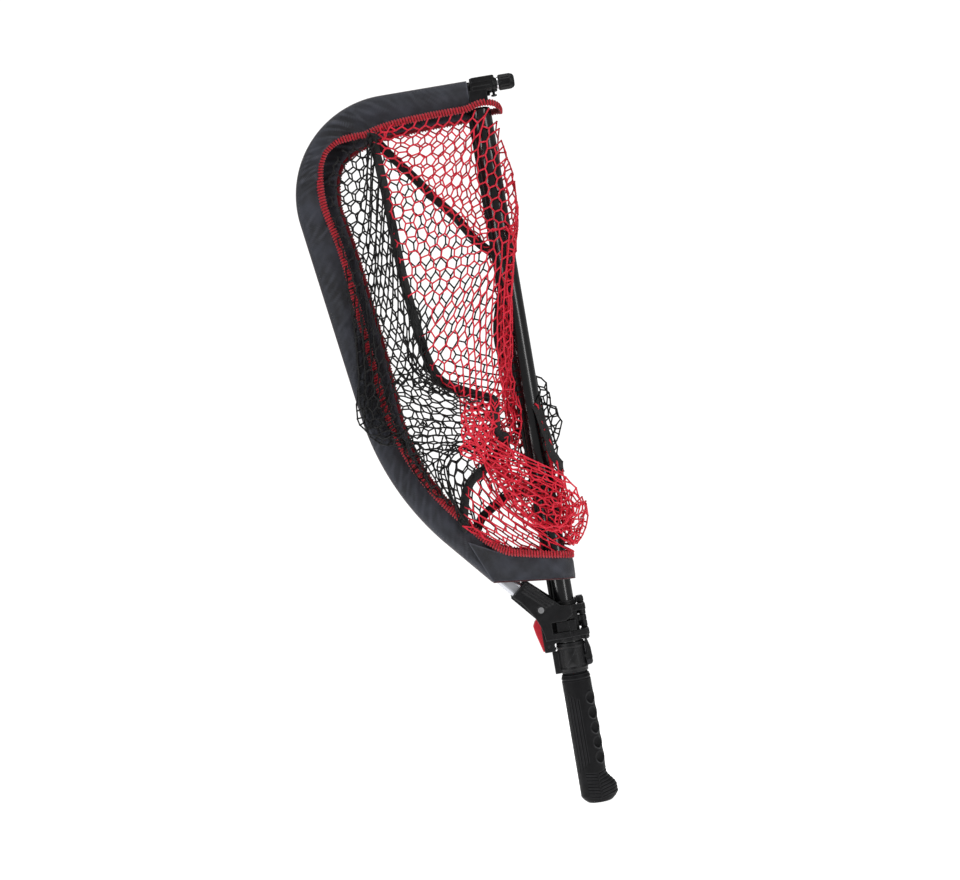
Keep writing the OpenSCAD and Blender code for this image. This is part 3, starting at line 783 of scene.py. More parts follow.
def binding(name, y_side, table, node):
    """Tape folded over the edge of the net, with overlocked thread across it."""
    line = binding_line(table)
    total = polyline_length(line)[-1]
    outer = [(3.0, -1.1), (-2.5, -1.1), (-3.1, 0), (-2.5, 1.1), (3.0, 1.1)]
    inner = [(3.0, 0.55), (-2.2, 0.55), (-2.5, 0), (-2.2, -0.55), (3.0, -0.55)]
    points, faces = sweep(line, outer + inner, outward(line))
    tape = half_mesh(name + "_tape", y_side, points, faces)
    dress(tape, "binding_red", "binding_tape")
    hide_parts(node)
    to_spine(tape)

    fine = resample(line, int(total / THREAD_PITCH * 4))
    out, t = outward(fine), tangents(fine)
    across = np.cross(t, out)
    loop = np.array([(-3.5, 0.2), (-3.1, 1.3), (-1.0, 1.75), (1.0, 1.75), (3.0, 1.3), (3.5, 0.2)])
    lean = np.linspace(0, 1.4, len(loop))[:, None]
    starts = range(2, len(fine) - 6, 4)
    loops = [fine[k] + loop[:, :1] * across[k] + loop[:, 1:] * out[k] + lean * t[k] for k in starts]
    stitches = thread_row(name + "_stitches", y_side, loops, circle_section(0.85, 6),
                          [out[k] + t[k] for k in starts])
    dress(stitches, "binding_red")
    to_spine(stitches)


# ---- fabric corner panels ------------------------------------------------

PANEL_LEFT = ((-92, 233), (-72, 185.5))   # left edge, top and foot, as (x, z)
PANEL_KNEE = (-49, 210.5)                 # where the top edge bends, as (x, z)
PANEL_RIGHT_Z = (198.5, 174.0)            # heights of the right edge, at the pole
PANEL_WRAP_R, PANEL_Y = 17.2, 19.3


def corner_panel(name, y_side, nodes):
    """Cloth panel from the hoop's lower end round to the spine."""
    columns, rows = 90, 30
    flat_end = PANEL_WRAP_R * math.pi / 2
    (left_top, z_left_top), (left_low, z_left_low) = PANEL_LEFT
    z_right_top, z_right_low = PANEL_RIGHT_Z
    share, bends = np.linspace(0, 1, columns), [0, 0.36, 1]
    z_top = np.interp(share, bends, [z_left_top, PANEL_KNEE[1], z_right_top])
    z_low = np.interp(share, [0, 1], [z_left_low, z_right_low])
    points = np.zeros((rows, columns, 3))
    unrolled = np.zeros((rows, columns, 2))
    for j, t in enumerate(np.linspace(0, 1, rows)):
        left = (1 - t) * left_top + t * left_low
        top = np.interp(share, bends, [left, PANEL_KNEE[0], flat_end])
        low = np.interp(share, [0, 1], [left, flat_end])
        x = (1 - t) * top + t * low
        z = (1 - t) * z_top + t * z_low
        unrolled[j] = np.stack([x, z], axis=1)
        phi = np.clip(x, 0, None) / PANEL_WRAP_R
        swell = 1.3 * np.sin(math.pi * t) * np.clip((x + 90) / 40, 0, 1)
        ripple = 0.5 * np.sin(x / 5.3 + 3 * t) * np.sin(x / 13.0 + 5 * t) + 0.3 * np.sin(x / 3.1 - 7 * t)
        depth = PANEL_Y + swell + ripple * np.clip(np.sin(math.pi * t) * 2, 0, 1)
        round_pole = PANEL_WRAP_R * np.sin(phi) + (depth - PANEL_Y) * np.sin(phi)
        points[j, :, 0] = np.where(x > 0, round_pole, x)
        points[j, :, 1] = -np.where(x > 0, depth * np.cos(phi), depth)
        points[j, :, 2] = z
    obj = half_mesh(name, y_side, points.reshape(-1, 3), grid_faces(rows, columns))
    thicken(obj, 0.8, 0)
    dress(obj, "sleeve_fabric")
    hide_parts(*nodes)
    to_spine(obj)
    width, length = cut_size(unrolled.reshape(-1, 2)) * MM

    hem_x = np.linspace(left_low, flat_end, 60)
    phi = np.clip(hem_x, 0, None) / PANEL_WRAP_R
    hem_y = PANEL_Y + 0.3
    hem = np.stack([np.where(hem_x > 0, PANEL_WRAP_R * np.sin(phi), hem_x),
                    -np.where(hem_x > 0, hem_y * np.cos(phi), hem_y),
                    np.interp(hem_x, [left_low, flat_end], [z_left_low - 0.2, z_right_low])], axis=1)
    if y_side > 0:
        hem = mirrored(hem)
    points, faces = sweep(hem, circle_section(0.85, 6), outward(hem))
    cord = new_mesh(name + "_hem", points, faces)
    dress(cord, "binding_red", "piping")
    to_spine(cord)


# ---- the mesh bag --------------------------------------------------------
# The bag is a sheet of hexagonal netting for each half, sewn together along the bag's
# bottom line. It is laid flat, then let down over guides that stand for the hands that
# arranged it, with every strand keeping nearly its own length.

CELL = 13.0
SIDE = CELL / math.sqrt(3.0)
STRAND_R = 0.95
KNOT_R = 1.2
BAG_DEPTH = 245.0            # how far the flat bag reaches past the fold
SEAM_SWING = (150.0, 195.0)  # how far the flat seam of each sheet swings out from the rim
FRONT, REAR, SHARED = 0, 1, 2
RIM_Y, SHEET_Y = 14.5, 17.0  # from the fold plane to the rim and to the sheet when flat
NET_R = POLE_R + 1.8         # nearest that the net comes to the pole's axis
RIM_INSET = 24.0             # flat sheet's edge, inward from the tube's centre line
TAPE_WIDTH = 10.0

# Where the seams and the bag's bottom line are drawn to, from the top down, as (x, y, z).
FRONT_SEAM = [(-122, -16, 694), (-117, -19, 620), (-115, -20, 571), (-116, -22, 469), (-110, -19, 436),
              (-92, -17, 408), (-56, -20, 390), (-46, -34, 386), (-4, -34, 385), (-20, -22, 352),
              (-85, -18, 300), (-104, -17, 240)]
REAR_SEAM = [(-122, 16, 694), (-66, 18, 630), (-13, 18, 579), (20, 12, 560), (22, -8, 545), (4, -20, 520),
             (-24, -22, 480), (-30, -22, 430), (-2, -24, 385), (10, -24, 345), (20, -20, 300),
             (24, 4, 275), (-20, 20, 262), (-104, 17, 240)]
BAG_BOTTOM = [(21, 0, 690), (24, 0, 625), (24, -10, 590), (18, -18, 562), (4, -22, 530), (-5, -24, 487),
              (-12, -26, 440), (-19, -28, 406), (-12, -34, 384), (-76, -38, 352), (-30, -34, 300),
              (48, -14, 268), (40, -6, 232), (22, 0, 208)]
# (sheet, middle on the flat net, radius, middle where it lies, pull)
PATCHES = [
    (FRONT, (-95, 420), 34, (-176, -26, 374), 0.35),
    (FRONT, (-110, 340), 30, (-130, -28, 330), 0.25),
    (FRONT, (-30, 420), 36, (-126, -36, 404), 0.25),
    (FRONT, (0, 480), 34, (-100, -34, 412), 0.3),
    (FRONT, (-50, 300), 34, (-98, -34, 322), 0.3),
    (REAR, (-60, 380), 40, (-118, 30, 372), 0.25),
    (REAR, (-60, 480), 34, (-126, 24, 430), 0.2),
    (REAR, (-40, 300), 36, (-90, 28, 340), 0.2),
    (FRONT, (-70, 500), 34, (-138, -30, 446), 0.25),
    (FRONT, (-60, 390), 32, (-116, -38, 366), 0.3),
    (FRONT, (150, 400), 34, (-80, -38, 368), 0.4),
    (FRONT, (120, 370), 34, (-84, -38, 334), 0.38),
    (FRONT, (-60, 350), 34, (-124, -38, 352), 0.25),
    (REAR, (-60, 330), 34, (-128, 28, 338), 0.25),
    (REAR, (-30, 345), 30, (42, 8, 352), 0.4),
    (REAR, (-60, 375), 30, (38, 8, 340), 0.4),
    (REAR, (-20, 410), 26, (30, 8, 388), 0.35),
    (FRONT, (80, 575), 18, (12, -26, 574), 0.35),
    (FRONT, (50, 545), 18, (-16, -30, 548), 0.35),
    (FRONT, (15, 515), 18, (-46, -30, 520), 0.35),
    (FRONT, (130, 320), 36, (34, -26, 270), 0.35),
    (FRONT, (110, 430), 38, (-50, -38, 352), 0.4),
    (FRONT, (60, 350), 34, (-72, -38, 318), 0.35),
    (FRONT, (20, 290), 30, (-50, -32, 276), 0.25),
]
# Outline that the laid net stays inside, as (x, z): its left side, and two right sides. Red
# mesh turns in beside the pole, and the rear sheet's black mesh goes on to the pole's right.
LEFT_SIDE = [(24, 204), (-49, 219), (-84, 240), (-117, 276), (-150, 325), (-178, 345), (-193, 368),
             (-192, 392), (-178, 430), (-176, 480), (-182, 560), (-186, 620), (-176, 668), (-130, 706),
             (-40, 707)]
RIGHT_SIDE = [(27, 697), (25, 640), (24, 590), (21, 560), (18, 500), (18, 428), (28, 398), (40, 372),
              (47, 345), (46, 312), (40, 280), (34, 226)]
RED_RIGHT_SIDE = [(27, 697), (25, 640), (24, 600), (21, 568), (10, 535), (0, 490), (-8, 440), (-13, 410),
                  (-10, 390), (8, 360), (36, 330), (49, 300), (51, 262), (38, 226)]
KEEP_IN = np.array(RIGHT_SIDE + LEFT_SIDE, float)
KEEP_IN_RED = np.array(RED_RIGHT_SIDE + LEFT_SIDE, float)


def inside(polygon, points):
    """Which points (n, 2) lie inside a polygon (m, 2)."""
    x, z = points[:, 0], points[:, 1]
    result = np.zeros(len(points), bool)
    for (x0, z0), (x1, z1) in zip(polygon, np.roll(polygon, -1, axis=0)):
        if z0 == z1:
            continue
        crosses = (z0 > z) != (z1 > z)
        result ^= crosses & (x < (x1 - x0) * (z - z0) / (z1 - z0) + x0)
    return result


def nearest_on(polygon, points):
    """Nearest place on a polygon's outline for each point."""
    ends = np.roll(polygon, -1, axis=0) - polygon
    t = ((points[:, None] - polygon) * ends).sum(2) / (ends * ends).sum(1)
    places = polygon + np.clip(t, 0, 1)[:, :, None] * ends
    best = ((points[:, None] - places) ** 2).sum(2).argmin(1)
    return places[np.arange(len(points)), best]


def crossing(p, q, line):
    """Share of p to q where it first meets an open line, and the place on the line."""
    step = np.diff(line, axis=0)
    r = q - p
    den = r[0] * step[:, 1] - r[1] * step[:, 0]
    den = np.where(np.abs(den) < 1e-12, 1e-12, den)
    w = line[:-1] - p
    t = (w[:, 0] * step[:, 1] - w[:, 1] * step[:, 0]) / den
    u = (w[:, 0] * r[1] - w[:, 1] * r[0]) / den
    hit = np.flatnonzero((t >= 0) & (t <= 1) & (u >= 0) & (u <= 1))
    if not len(hit):
        return None
    k = hit[t[hit].argmin()]
    return t[k], k + u[k]


def flat_outline():
    """The flat net's rim line and its bottom line, as (x, z)."""
    path = hoop_path(36, 6)
    _, centre, inward = path_frame(path)
    rim = centre + RIM_INSET * inward
    rim = np.vstack([[(20, rim[0, 1])], rim, [(-80, 231), (-49, 216), (20, 202)]])
    t = np.linspace(0, 1, 60)[1:-1]
    low, high = 202.0, rim[0, 1]
    bottom = np.stack([20 + BAG_DEPTH * np.sin(math.pi * t ** 0.64) ** 0.85, low + (high - low) * t], axis=1)
    return rim, bottom


def flat_seam(swing):
    """Where black meets red on one flat sheet, from the rim's corner to its foot, as (x, z)."""
    t = np.linspace(0, 1, 50)
    out = np.sin(math.pi * (1 - (1 - t) ** 0.64)) ** 1.15
    return np.stack([-124 + 20 * t + swing * out, 700 - 464 * t], axis=1)


def hexagons(low, high):
    """Points and strands of a hexagonal lattice that covers a box."""
    rows = int((high[1] - low[1]) / (1.5 * SIDE)) + 2
    columns = int((high[0] - low[0]) / CELL) + 2
    index, points, strands = {}, [], []

    def add(key, place):
        index[key] = len(points)
        points.append(place)
        return index[key]

    for r in range(rows):
        z = low[1] + r * 1.5 * SIDE
        for c in range(columns):
            x = low[0] + c * CELL + (CELL / 2 if r % 2 else 0)
            a = add((r, c, 0), (x, z))
            b = add((r, c, 1), (x + CELL / 2, z + SIDE / 2))
            strands.append((a, b))
            if c > 0:
                strands.append((index[r, c - 1, 1], a))
            below = (r - 1, c - 1 if r % 2 == 0 else c, 1)
            if below in index:
                strands.append((index[below], a))
    return np.array(points), strands


def flat_bag():
    """Both sheets of the bag laid flat: points, strands, their colours and the seams."""
    rim, bottom = flat_outline()
    outline = np.vstack([rim, bottom])
    lattice, lattice_strands = hexagons(outline.min(0) - CELL, outline.max(0) + CELL)
    within = inside(outline, lattice)
    bottom_line = np.vstack([rim[-1:], bottom, rim[:1]])
    points, sheet, pinned, sewn, dark = [], [], [], [], []

    def add(place, y, layer, is_pinned=False, is_sewn=False, is_dark=False):
        points.append((place[0], y, place[1]))
        sheet.append(layer)
        pinned.append(is_pinned)
        sewn.append(is_sewn)
        dark.append(is_dark)
        return len(points) - 1

    strands, colours, seams, shared = [], [], [], {}
    for layer, side in ((FRONT, -1), (REAR, 1)):
        seam = flat_seam(SEAM_SWING[layer])
        black_side = np.vstack([seam, [[-300, 236], [-300, 700]]])
        black = inside(black_side, lattice)
        number = {i: add(lattice[i], side * SHEET_Y, layer, is_dark=black[i])
                  for i in np.flatnonzero(within)}
        on_seam = []
        for k, (a, b) in enumerate(lattice_strands):
            if not (within[a] or within[b]):
                continue
            if not within[a]:
                a, b = b, a
            p, q = lattice[a], lattice[b]
            start = number[a]
            q_black = black[b]
            if within[b]:
                end = number[b]
            else:
                at_rim, at_bottom = crossing(p, q, rim), crossing(p, q, bottom_line)
                if at_rim and (not at_bottom or at_rim[0] <= at_bottom[0]):
                    q = p + at_rim[0] * (q - p)
                    end = add(q, side * RIM_Y, layer, is_pinned=True)
                elif at_bottom:
                    q = p + at_bottom[0] * (q - p)
                    if k not in shared:
                        shared[k] = add(q, 0.0, SHARED, is_sewn=True)
                    end = shared[k]
                else:
                    continue
                q_black = inside(black_side, q[None])[0]
            meets = crossing(p, q, seam) if black[a] != q_black else None
            if meets and 0.02 < meets[0] < 0.98:
                middle = add(p + meets[0] * (q - p), side * SHEET_Y, layer)
                on_seam.append((meets[1], middle))
                strands += [(start, middle), (middle, end)]
                colours += [black[a], q_black]
            else:
                strands.append((start, end))
                colours.append(black[a])
        seams.append([v for _, v in sorted(on_seam)])
    return {"points": np.array(points), "sheet": np.array(sheet), "pinned": np.array(pinned),
            "sewn": np.array(sewn), "dark": np.array(dark),
            "strands": np.array(strands), "black": np.array(colours, bool),
            "seams": seams}


def independent_groups(pairs, lengths, count):
    """Splits pairs into groups in which no point appears twice."""
    used = [0] * count
    groups = {}
    for k, (a, b) in enumerate(pairs):
        taken = used[a] | used[b]
        colour = 0
        while taken >> colour & 1:
            colour += 1
        used[a] |= 1 << colour
        used[b] |= 1 << colour
        groups.setdefault(colour, []).append(k)
    return [(pairs[g, 0], pairs[g, 1], lengths[g]) for g in groups.values()]


def lengths_of(points, pairs):
    return np.linalg.norm(points[pairs[:, 0]] - points[pairs[:, 1]], axis=1)


def second_neighbours(strands, count):
    """Pairs of points with one strand end between them."""
    near = [[] for _ in range(count)]
    for a, b in strands:
        near[a].append(b)
        near[b].append(a)
    pairs = {(min(a, b), max(a, b)) for ends in near for a in ends for b in ends if a != b}
    return np.array(sorted(pairs))


def bag_guides(bag):
    """(points, where they are drawn to, pull) for seams, bottom line and patches."""
    flat = bag["points"]
    front, rear = (np.array(seam) for seam in bag["seams"])
    sewn = np.flatnonzero(bag["sewn"])
    sewn = sewn[np.argsort(-flat[sewn, 2])]
    guides = [(front, resample(FRONT_SEAM, len(front)), 1.0),
              (rear, resample(REAR_SEAM, len(rear)), 0.85),
              (sewn, resample(BAG_BOTTOM, len(sewn)), 0.7)]
    for layer, (x, z), radius, place, pull in PATCHES:
        near = np.hypot(flat[:, 0] - x, flat[:, 2] - z) < radius
        members = np.flatnonzero(near & (bag["sheet"] == layer) & ~bag["pinned"])
        offset = (flat[members] - [x, 0, z]) * [0.75, 0, 0.75]
        guides.append((members, np.array(place) + offset, pull))
    return guides


def pinned_places(bag):
    """The rim's points, wrapped round the pole's right side near the fold."""
    places = bag["points"].copy()
    near = bag["pinned"] & (places[:, 0] > 4)
    turn = np.clip((places[near, 0] - 4) / 16, 0, 1) * math.pi / 2
    places[near, 1] = np.sign(places[near, 1]) * RIM_Y * np.cos(turn)
    places[near, 0] = 4 + 18 * np.sin(turn)
    return places


def starting_places(bag, guides, pinned_at, rng):
    """The flat net moved with its nearest guides, with soft waves that start the folds."""
    flat, sheet, pinned = bag["points"], bag["sheet"], bag["pinned"]
    ids = np.concatenate([g[0] for g in guides] + [np.flatnonzero(pinned)])
    shift = np.vstack([g[1] for g in guides] + [pinned_at[pinned]]) - flat[ids]
    start = pinned_at.copy()
    for layer in (FRONT, REAR):
        use = (sheet[ids] == layer) | (sheet[ids] == SHARED)
        known = flat[ids[use]][:, [0, 2]]
        members = np.flatnonzero((sheet == layer) & ~pinned)
        for first in range(0, len(members), 500):
            some = members[first:first + 500]
            apart = ((flat[some][:, None, [0, 2]] - known) ** 2).sum(2) + 9
            weight = apart ** -1.5
            mean = (weight[:, :, None] * shift[use]).sum(1) / weight.sum(1)[:, None]
            start[some] = flat[some] + mean
    for members, line, _ in guides[:3]:
        start[members] = line
    size = np.interp(start[:, 2], [200, 420, 620, 690], [24, 20, 7, 0])
    free = ~pinned
    for _ in range(18):
        length, lean = rng.uniform(22, 64), rng.uniform(-0.9, 0.9)
        phases = rng.uniform(0, 2 * math.pi, 3)
        along = 2 * math.pi * (flat[:, 0] * math.cos(lean) + flat[:, 2] * math.sin(lean)) / length
        for axis, share in ((0, 0.33), (1, 0.3), (2, 0.33)):
            wave = size * share * np.sin(along + phases[axis] + (sheet == REAR) * 2.0)
            start[free, axis] += wave[free]
    start[free] += rng.normal(0, 1.2, (free.sum(), 3))
    return start


def keep_apart(points, members, distance):
    """Pushes net points apart where they are closer than a distance."""
    order = members[np.argsort(points[members, 2])]
    q = points[order]
    for k in range(1, 300):
        dz = q[k:, 2] - q[:-k, 2]
        if not (dz < distance).any():
            break
        d = q[k:] - q[:-k]
        near = np.flatnonzero((dz < distance) & (np.abs(d[:, 0]) < distance) & (np.abs(d[:, 1]) < distance))
        gap = np.linalg.norm(d[near], axis=1) + 1e-6
        close = gap < distance
        near, gap = near[close], gap[close]
        push = d[near] * ((gap - distance) / gap * 0.25)[:, None]
        np.add.at(q, near, push)
        np.add.at(q, near + k, -push)
    points[order] = q


def keep_clear(points, bag):
    """Holds the net inside its outline, off the pole, and outside the two hoop halves."""
    free = ~bag["pinned"]
    sheet = bag["sheet"]
    flat_places = points[:, [0, 2]]
    goes_on = (sheet == REAR) & bag["dark"]
    for outline, group in ((KEEP_IN, free & goes_on), (KEEP_IN_RED, free & ~goes_on)):
        out = np.flatnonzero(group & ~inside(outline, flat_places))
        if len(out):
            d = nearest_on(outline, flat_places[out]) - flat_places[out]
            reach = np.linalg.norm(d, axis=1, keepdims=True) + 1e-9
            points[np.ix_(out, [0, 2])] += d * np.minimum(1.0, 5.0 / reach)
    radius = np.hypot(points[:, 0], points[:, 1])
    on_pole = np.flatnonzero(free & (radius < NET_R))
    points[np.ix_(on_pole, [0, 1])] *= (NET_R / np.maximum(radius[on_pole], 1e-3))[:, None]
    clear = np.where(points[:, 0] < -152, 18.5, RIM_Y)
    side = np.where(sheet == REAR, 1.0, -1.0)
    left = free & (points[:, 0] < 2)
    brought_round = (sheet == REAR) & (points[:, 1] < -8)
    wrong = left & (side * points[:, 1] < clear) & ~brought_round
    points[wrong, 1] = (side * clear)[wrong]
    wrong = left & brought_round & (points[:, 1] > -clear)
    points[wrong, 1] = -clear[wrong]
    loft = np.interp(points[:, 2], [410, 470], [36, 25])
    far = free & (np.abs(points[:, 1]) > loft)
    points[far, 1] = (np.sign(points[:, 1]) * loft)[far]


STEPS, ROUNDS = 160, 8       # time steps, and length corrections in each
DRAG, FALL, LATE_FALL, TOP_SPEED = 0.85, 0.8, 0.32, 5.0
NET_APART = 3.4              # crossings of the net are pushed this far apart
SEAM_MOBILITY = 0.1          # the front seam gives way to strands this little


def lay_net(bag):
    """Lets the net down: strands nearly keep their length, and spare net forms folds."""
    rng = np.random.default_rng(5)
    count = len(bag["points"])
    strands, pinned = bag["strands"], bag["pinned"]
    second = second_neighbours(strands, count)
    tape = np.array([pair for seam in bag["seams"] for pair in zip(seam[:-1], seam[1:])])
    flat = bag["points"]
    rules = [(independent_groups(strands, lengths_of(flat, strands), count), 1.0, 0.9),
             (independent_groups(second, lengths_of(flat, second), count), 0.12, 0.05),
             (independent_groups(tape, lengths_of(flat, tape), count), 0.9, 0.3)]
    guides = bag_guides(bag)
    pinned_at = pinned_places(bag)
    places = starting_places(bag, guides, pinned_at, rng)
    mobility = np.where(pinned, 0.0, 1.0)
    mobility[guides[0][0]] = SEAM_MOBILITY
    free = ~pinned
    inner = np.flatnonzero(free & ~bag["sewn"])
    speed = np.zeros_like(places)
    for step in range(STEPS):
        before = places.copy()
        settled = step / STEPS
        speed *= DRAG
        speed[free, 2] -= FALL if settled < 0.75 else LATE_FALL
        places[free] += speed[free]
        hold = 1.0 if settled < 0.8 else 0.8
        for members, line, pull in guides:
            places[members] += (line - places[members]) * pull * hold
        for _ in range(ROUNDS):
            for groups, stretch, squeeze in rules:
                for a, b, rest in groups:
                    d = places[b] - places[a]
                    now = np.sqrt((d * d).sum(1)) + 1e-9
                    share = (now - rest) / now
                    share *= np.where(share > 0, stretch, squeeze) / (mobility[a] + mobility[b] + 1e-9)
                    places[a] += d * (share * mobility[a])[:, None]
                    places[b] -= d * (share * mobility[b])[:, None]
        keep_clear(places, bag)
        if step % 2 == 0:
            keep_apart(places, inner, NET_APART)
        places[pinned] = pinned_at[pinned]
        speed = places - before
        fast = np.linalg.norm(speed, axis=1)
        speed *= np.minimum(1.0, TOP_SPEED / np.maximum(fast, 1e-9))[:, None]
    return places


def strand_tubes(starts, ends, radius, sides=5):
    """Points and faces of a straight closed tube for each strand."""
    d = ends - starts
    d /= np.maximum(np.linalg.norm(d, axis=1, keepdims=True), 1e-9)
    helper = np.where(np.abs(d[:, 1:2]) > 0.8, [[1.0, 0, 0]], [[0, 1.0, 0]])
    u = np.cross(d, helper)
    u /= np.linalg.norm(u, axis=1, keepdims=True)
    v = np.cross(d, u)
    angles = np.linspace(0, 2 * math.pi, sides, endpoint=False)
    ring = radius * (np.cos(angles)[None, :, None] * u[:, None] + np.sin(angles)[None, :, None] * v[:, None])
    points = np.stack([starts[:, None] + ring, ends[:, None] + ring], axis=1).reshape(-1, 3)
    base = np.arange(len(starts))[:, None] * 2 * sides
    faces = []
    for i in range(sides):
        j = (i + 1) % sides
        faces.append(base + [i, j, sides + j, sides + i])
    quads = np.stack(faces, axis=1).reshape(-1, 4).tolist()
    caps = (base + np.arange(sides)[::-1]).tolist() + (base + sides + np.arange(sides)).tolist()
    return points, quads + caps


def knots(centres, radius):
    """A small faceted ball at each crossing of the net."""
    g = (1 + math.sqrt(5)) / 2
    corners = np.array([(-1, g, 0), (1, g, 0), (-1, -g, 0), (1, -g, 0), (0, -1, g), (0, 1, g), (0, -1, -g),
                        (0, 1, -g), (g, 0, -1), (g, 0, 1), (-g, 0, -1), (-g, 0, 1)]) / math.hypot(1, g)
    triangles = np.array([(0, 11, 5), (0, 5, 1), (0, 1, 7), (0, 7, 10), (0, 10, 11), (1, 5, 9), (5, 11, 4),
                          (11, 10, 2), (10, 7, 6), (7, 1, 8), (3, 9, 4), (3, 4, 2), (3, 2, 6), (3, 6, 8),
                          (3, 8, 9), (4, 9, 5), (2, 4, 11), (6, 2, 10), (8, 6, 7), (9, 8, 1)])
    points = (centres[:, None] + radius * corners).reshape(-1, 3)
    faces = (np.arange(len(centres))[:, None, None] * 12 + triangles).reshape(-1, 3).tolist()
    return points, faces


def cut_size(flat_points):
    """Sides of the smallest rectangle round a flat piece, as (width, length)."""
    best = None
    for turn in np.radians(np.arange(0, 90, 2)):
        c, w = math.cos(turn), math.sin(turn)
        sides = np.sort(np.ptp(flat_points @ np.array([[c, -w], [w, c]]), axis=0))
        if best is None or sides.prod() < best.prod():
            best = sides
    return best


def netting(places, strands):
    """Mesh of some strands with their knots, for places laid or flat."""
    points, faces = strand_tubes(places[strands[:, 0]], places[strands[:, 1]], STRAND_R)
    knot_points, knot_faces = knots(places[np.unique(strands)], KNOT_R)
    first = len(points)
    faces = faces + [[i + first for i in f] for f in knot_faces]
    return np.vstack([points, knot_points]), faces


def surface_area(points, faces):
    """Area of a mesh of triangles, quads or larger flat faces."""
    total = 0.0
    for size in sorted({len(f) for f in faces}):
        corners = points[np.array([f for f in faces if len(f) == size])]
        fan = np.zeros((len(corners), 3))
        for k in range(1, size - 1):
            fan += np.cross(corners[:, k] - corners[:, 0], corners[:, k + 1] - corners[:, 0])
        total += 0.5 * np.linalg.norm(fan, axis=1).sum()
    return total


def mesh_piece(name, slot, places, strands, nodes, flat_places):
    """One panel of netting: its strands and knots as laid, its sizes from the flat net."""
    points, faces = netting(places, strands)
    obj = new_mesh(name, points, faces)
    dress(obj, slot)
    to_spine(obj)
    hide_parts(*nodes)
    width, length = cut_size(flat_places[np.unique(strands)][:, [0, 2]]) * MM
    cut_area = 0.5 * surface_area(*netting(flat_places, strands)) * MM * MM


def seam_tape(name, line):
    """Flat woven tape over a seam of the net, along the seam as laid."""
    line = smooth_line(resample(line, max(8, int(polyline_length(line)[-1] / 3))), 6)
    edge, flat_edge = TAPE_WIDTH / 2, TAPE_WIDTH / 2 - 0.3
    section = [(-flat_edge, -0.5), (flat_edge, -0.5), (edge, 0), (flat_edge, 0.5), (-flat_edge, 0.5),
               (-edge, 0)]
    points, faces = sweep(line, section, outward(line))
    obj = new_mesh(name, points, faces)
    dress(obj, "net_black", "seam_tape")
    to_spine(obj)


def make_bag():
    bag = flat_bag()
    places = lay_net(bag)
    strands = bag["strands"]
    of_rear = (bag["sheet"][strands] == REAR).any(1)
    for side, of_side in (("front", ~of_rear), ("rear", of_rear)):
        for colour, is_colour in (("black", bag["black"]), ("red", ~bag["black"])):
            nodes = [side + "_net"] if colour == "black" else [side + "_net", "spine_net"]
            mesh_piece(f"{side}_mesh_{colour}", "net_" + colour, places,
                       strands[of_side & is_colour], nodes, bag["points"])
    for side, seam in zip(("front", "rear"), bag["seams"]):
        seam_tape(side + "_seam_tape", places[seam])


# ---- stage, light and camera ---------------------------------------------

def make_stage():
    """A small white floor under the net."""
    low = Vector(cad_box[0])
    z = low.z / MM - 0.5
    corners = [(-760, -500, z), (640, -500, z), (640, 760, z), (-760, 760, z)]
    floor = new_mesh("floor", corners, [(0, 1, 2, 3)])
    n = Nodes("floor_paper")
    n.colour(n.ramp(n.noise(3, 3), [(0.3, (0.88, 0.88, 0.88)), (0.7, (0.92, 0.92, 0.92))]))
    n.set(Roughness=0.9, Emission_Color=(1, 1, 1, 1), Emission_Strength=0.9)
    floor.data.materials.append(n.material)


def area_light(name, place, size, power, target):
    light = bpy.data.lights.new(name, "AREA")
    light.shape = "RECTANGLE"
    light.size, light.size_y = size
    light.energy = power
    obj = bpy.data.objects.new(name, light)
    bpy.context.scene.collection.objects.link(obj)
    obj.location = place
    obj.rotation_euler = (Vector(target) - Vector(place)).to_track_quat("-Z", "Y").to_euler()


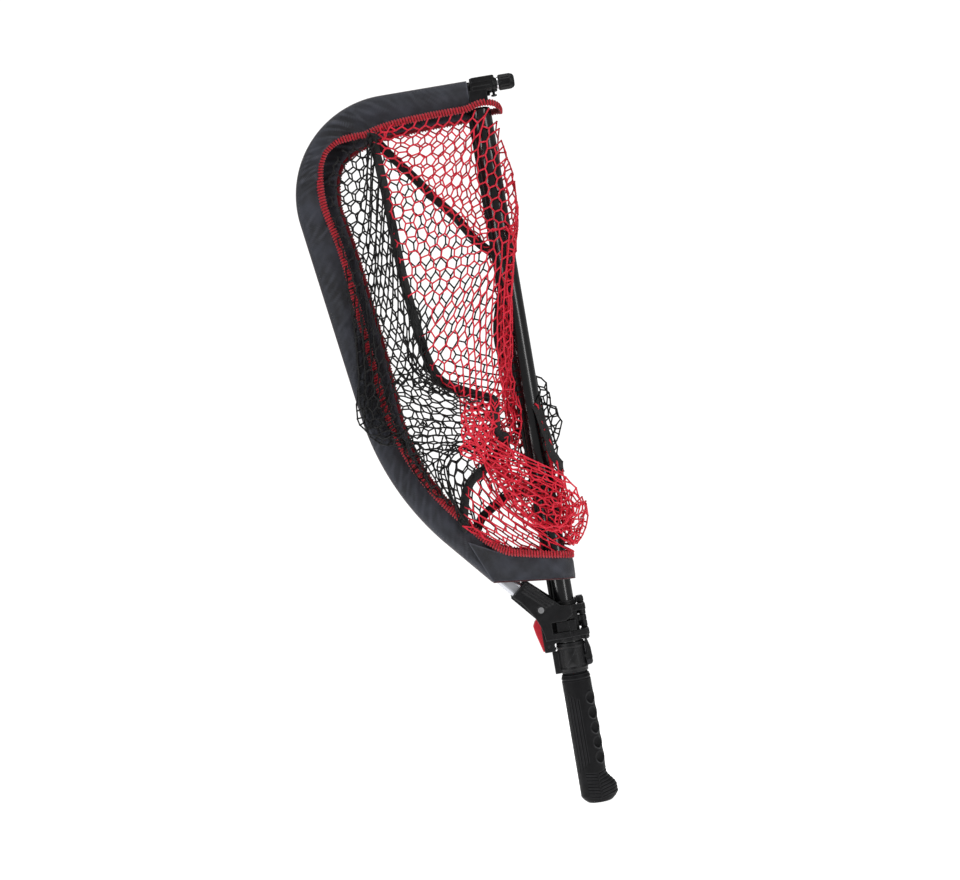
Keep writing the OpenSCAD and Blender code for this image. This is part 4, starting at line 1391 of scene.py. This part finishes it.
def make_light():
    """A white studio: bright behind the object, dimmer as a light on it."""
    world = bpy.data.worlds.new("studio")
    world.use_nodes = True
    tree = world.node_tree
    seen = tree.nodes["Background"]
    seen.inputs["Color"].default_value = (1, 1, 1, 1)
    seen.inputs["Strength"].default_value = 1.1
    lit = tree.nodes.new("ShaderNodeBackground")
    lit.inputs["Color"].default_value = (1, 1, 1, 1)
    lit.inputs["Strength"].default_value = 0.3
    path = tree.nodes.new("ShaderNodeLightPath")
    mix = tree.nodes.new("ShaderNodeMixShader")
    tree.links.new(path.outputs["Is Camera Ray"], mix.inputs["Fac"])
    tree.links.new(lit.outputs["Background"], mix.inputs[1])
    tree.links.new(seen.outputs["Background"], mix.inputs[2])
    tree.links.new(mix.outputs["Shader"], tree.nodes["World Output"].inputs["Surface"])
    bpy.context.scene.world = world
    centre = (-0.06, 0, 0.34)
    area_light("left_strip", (-1.2, -1.0, 0.55), (0.3, 1.5), 9, centre)
    area_light("right_strip", (1.0, -1.1, 0.6), (0.25, 1.5), 8, centre)
    area_light("top_soft", (0.1, -0.5, 2.0), (1.4, 1.0), 10, centre)
    area_light("back_soft", (-0.3, 1.8, 1.2), (1.5, 1.2), 9, centre)


def make_camera():
    """Square to the net's side, with the pole leaning as it does in the view."""
    data = bpy.data.cameras.new("camera")
    camera = bpy.data.objects.new("camera", data)
    bpy.context.scene.collection.objects.link(camera)
    distance, aim, lean = 1.8, Vector((-0.0605, 0, 0.3405)), math.radians(9.6)
    width_seen = 1.056
    data.sensor_width = 36.0
    data.lens = data.sensor_width * distance / width_seen
    up = Vector((math.sin(lean), 0, math.cos(lean)))
    right = Vector((math.cos(lean), 0, -math.sin(lean)))
    back = Vector((0, -1, 0))
    place = aim + distance * back
    camera.matrix_world = Matrix(((right.x, up.x, back.x, place.x), (right.y, up.y, back.y, place.y),
                                  (right.z, up.z, back.z, place.z), (0, 0, 0, 1)))
    bpy.context.scene.camera = camera


make_stage()
make_light()
make_camera()
finish_cad_nodes()
for moulded_node, moulded_body in MOULDED.items():
    moulding(moulded_node, moulded_body)
clamp_details()
grip_moulding()
for body, sign, offsets in (("front_half", -1, FRONT_EDGE), ("rear_half", 1, REAR_EDGE)):
    word = body.split("_")[0]
    sleeve(word + "_cloth_sleeve", body, sign, offsets, word + "_sleeve")
    piping(word + "_piping", body, sign)
    seam_stitches(word + "_seam_stitches", body, sign)
    binding(word + "_binding", sign, offsets, word + "_rim")
    corner_panel(word + "_corner_panel", sign, [word + "_flap", "spine_web"])
make_bag()

bpy.context.scene.view_settings.view_transform = "Standard"
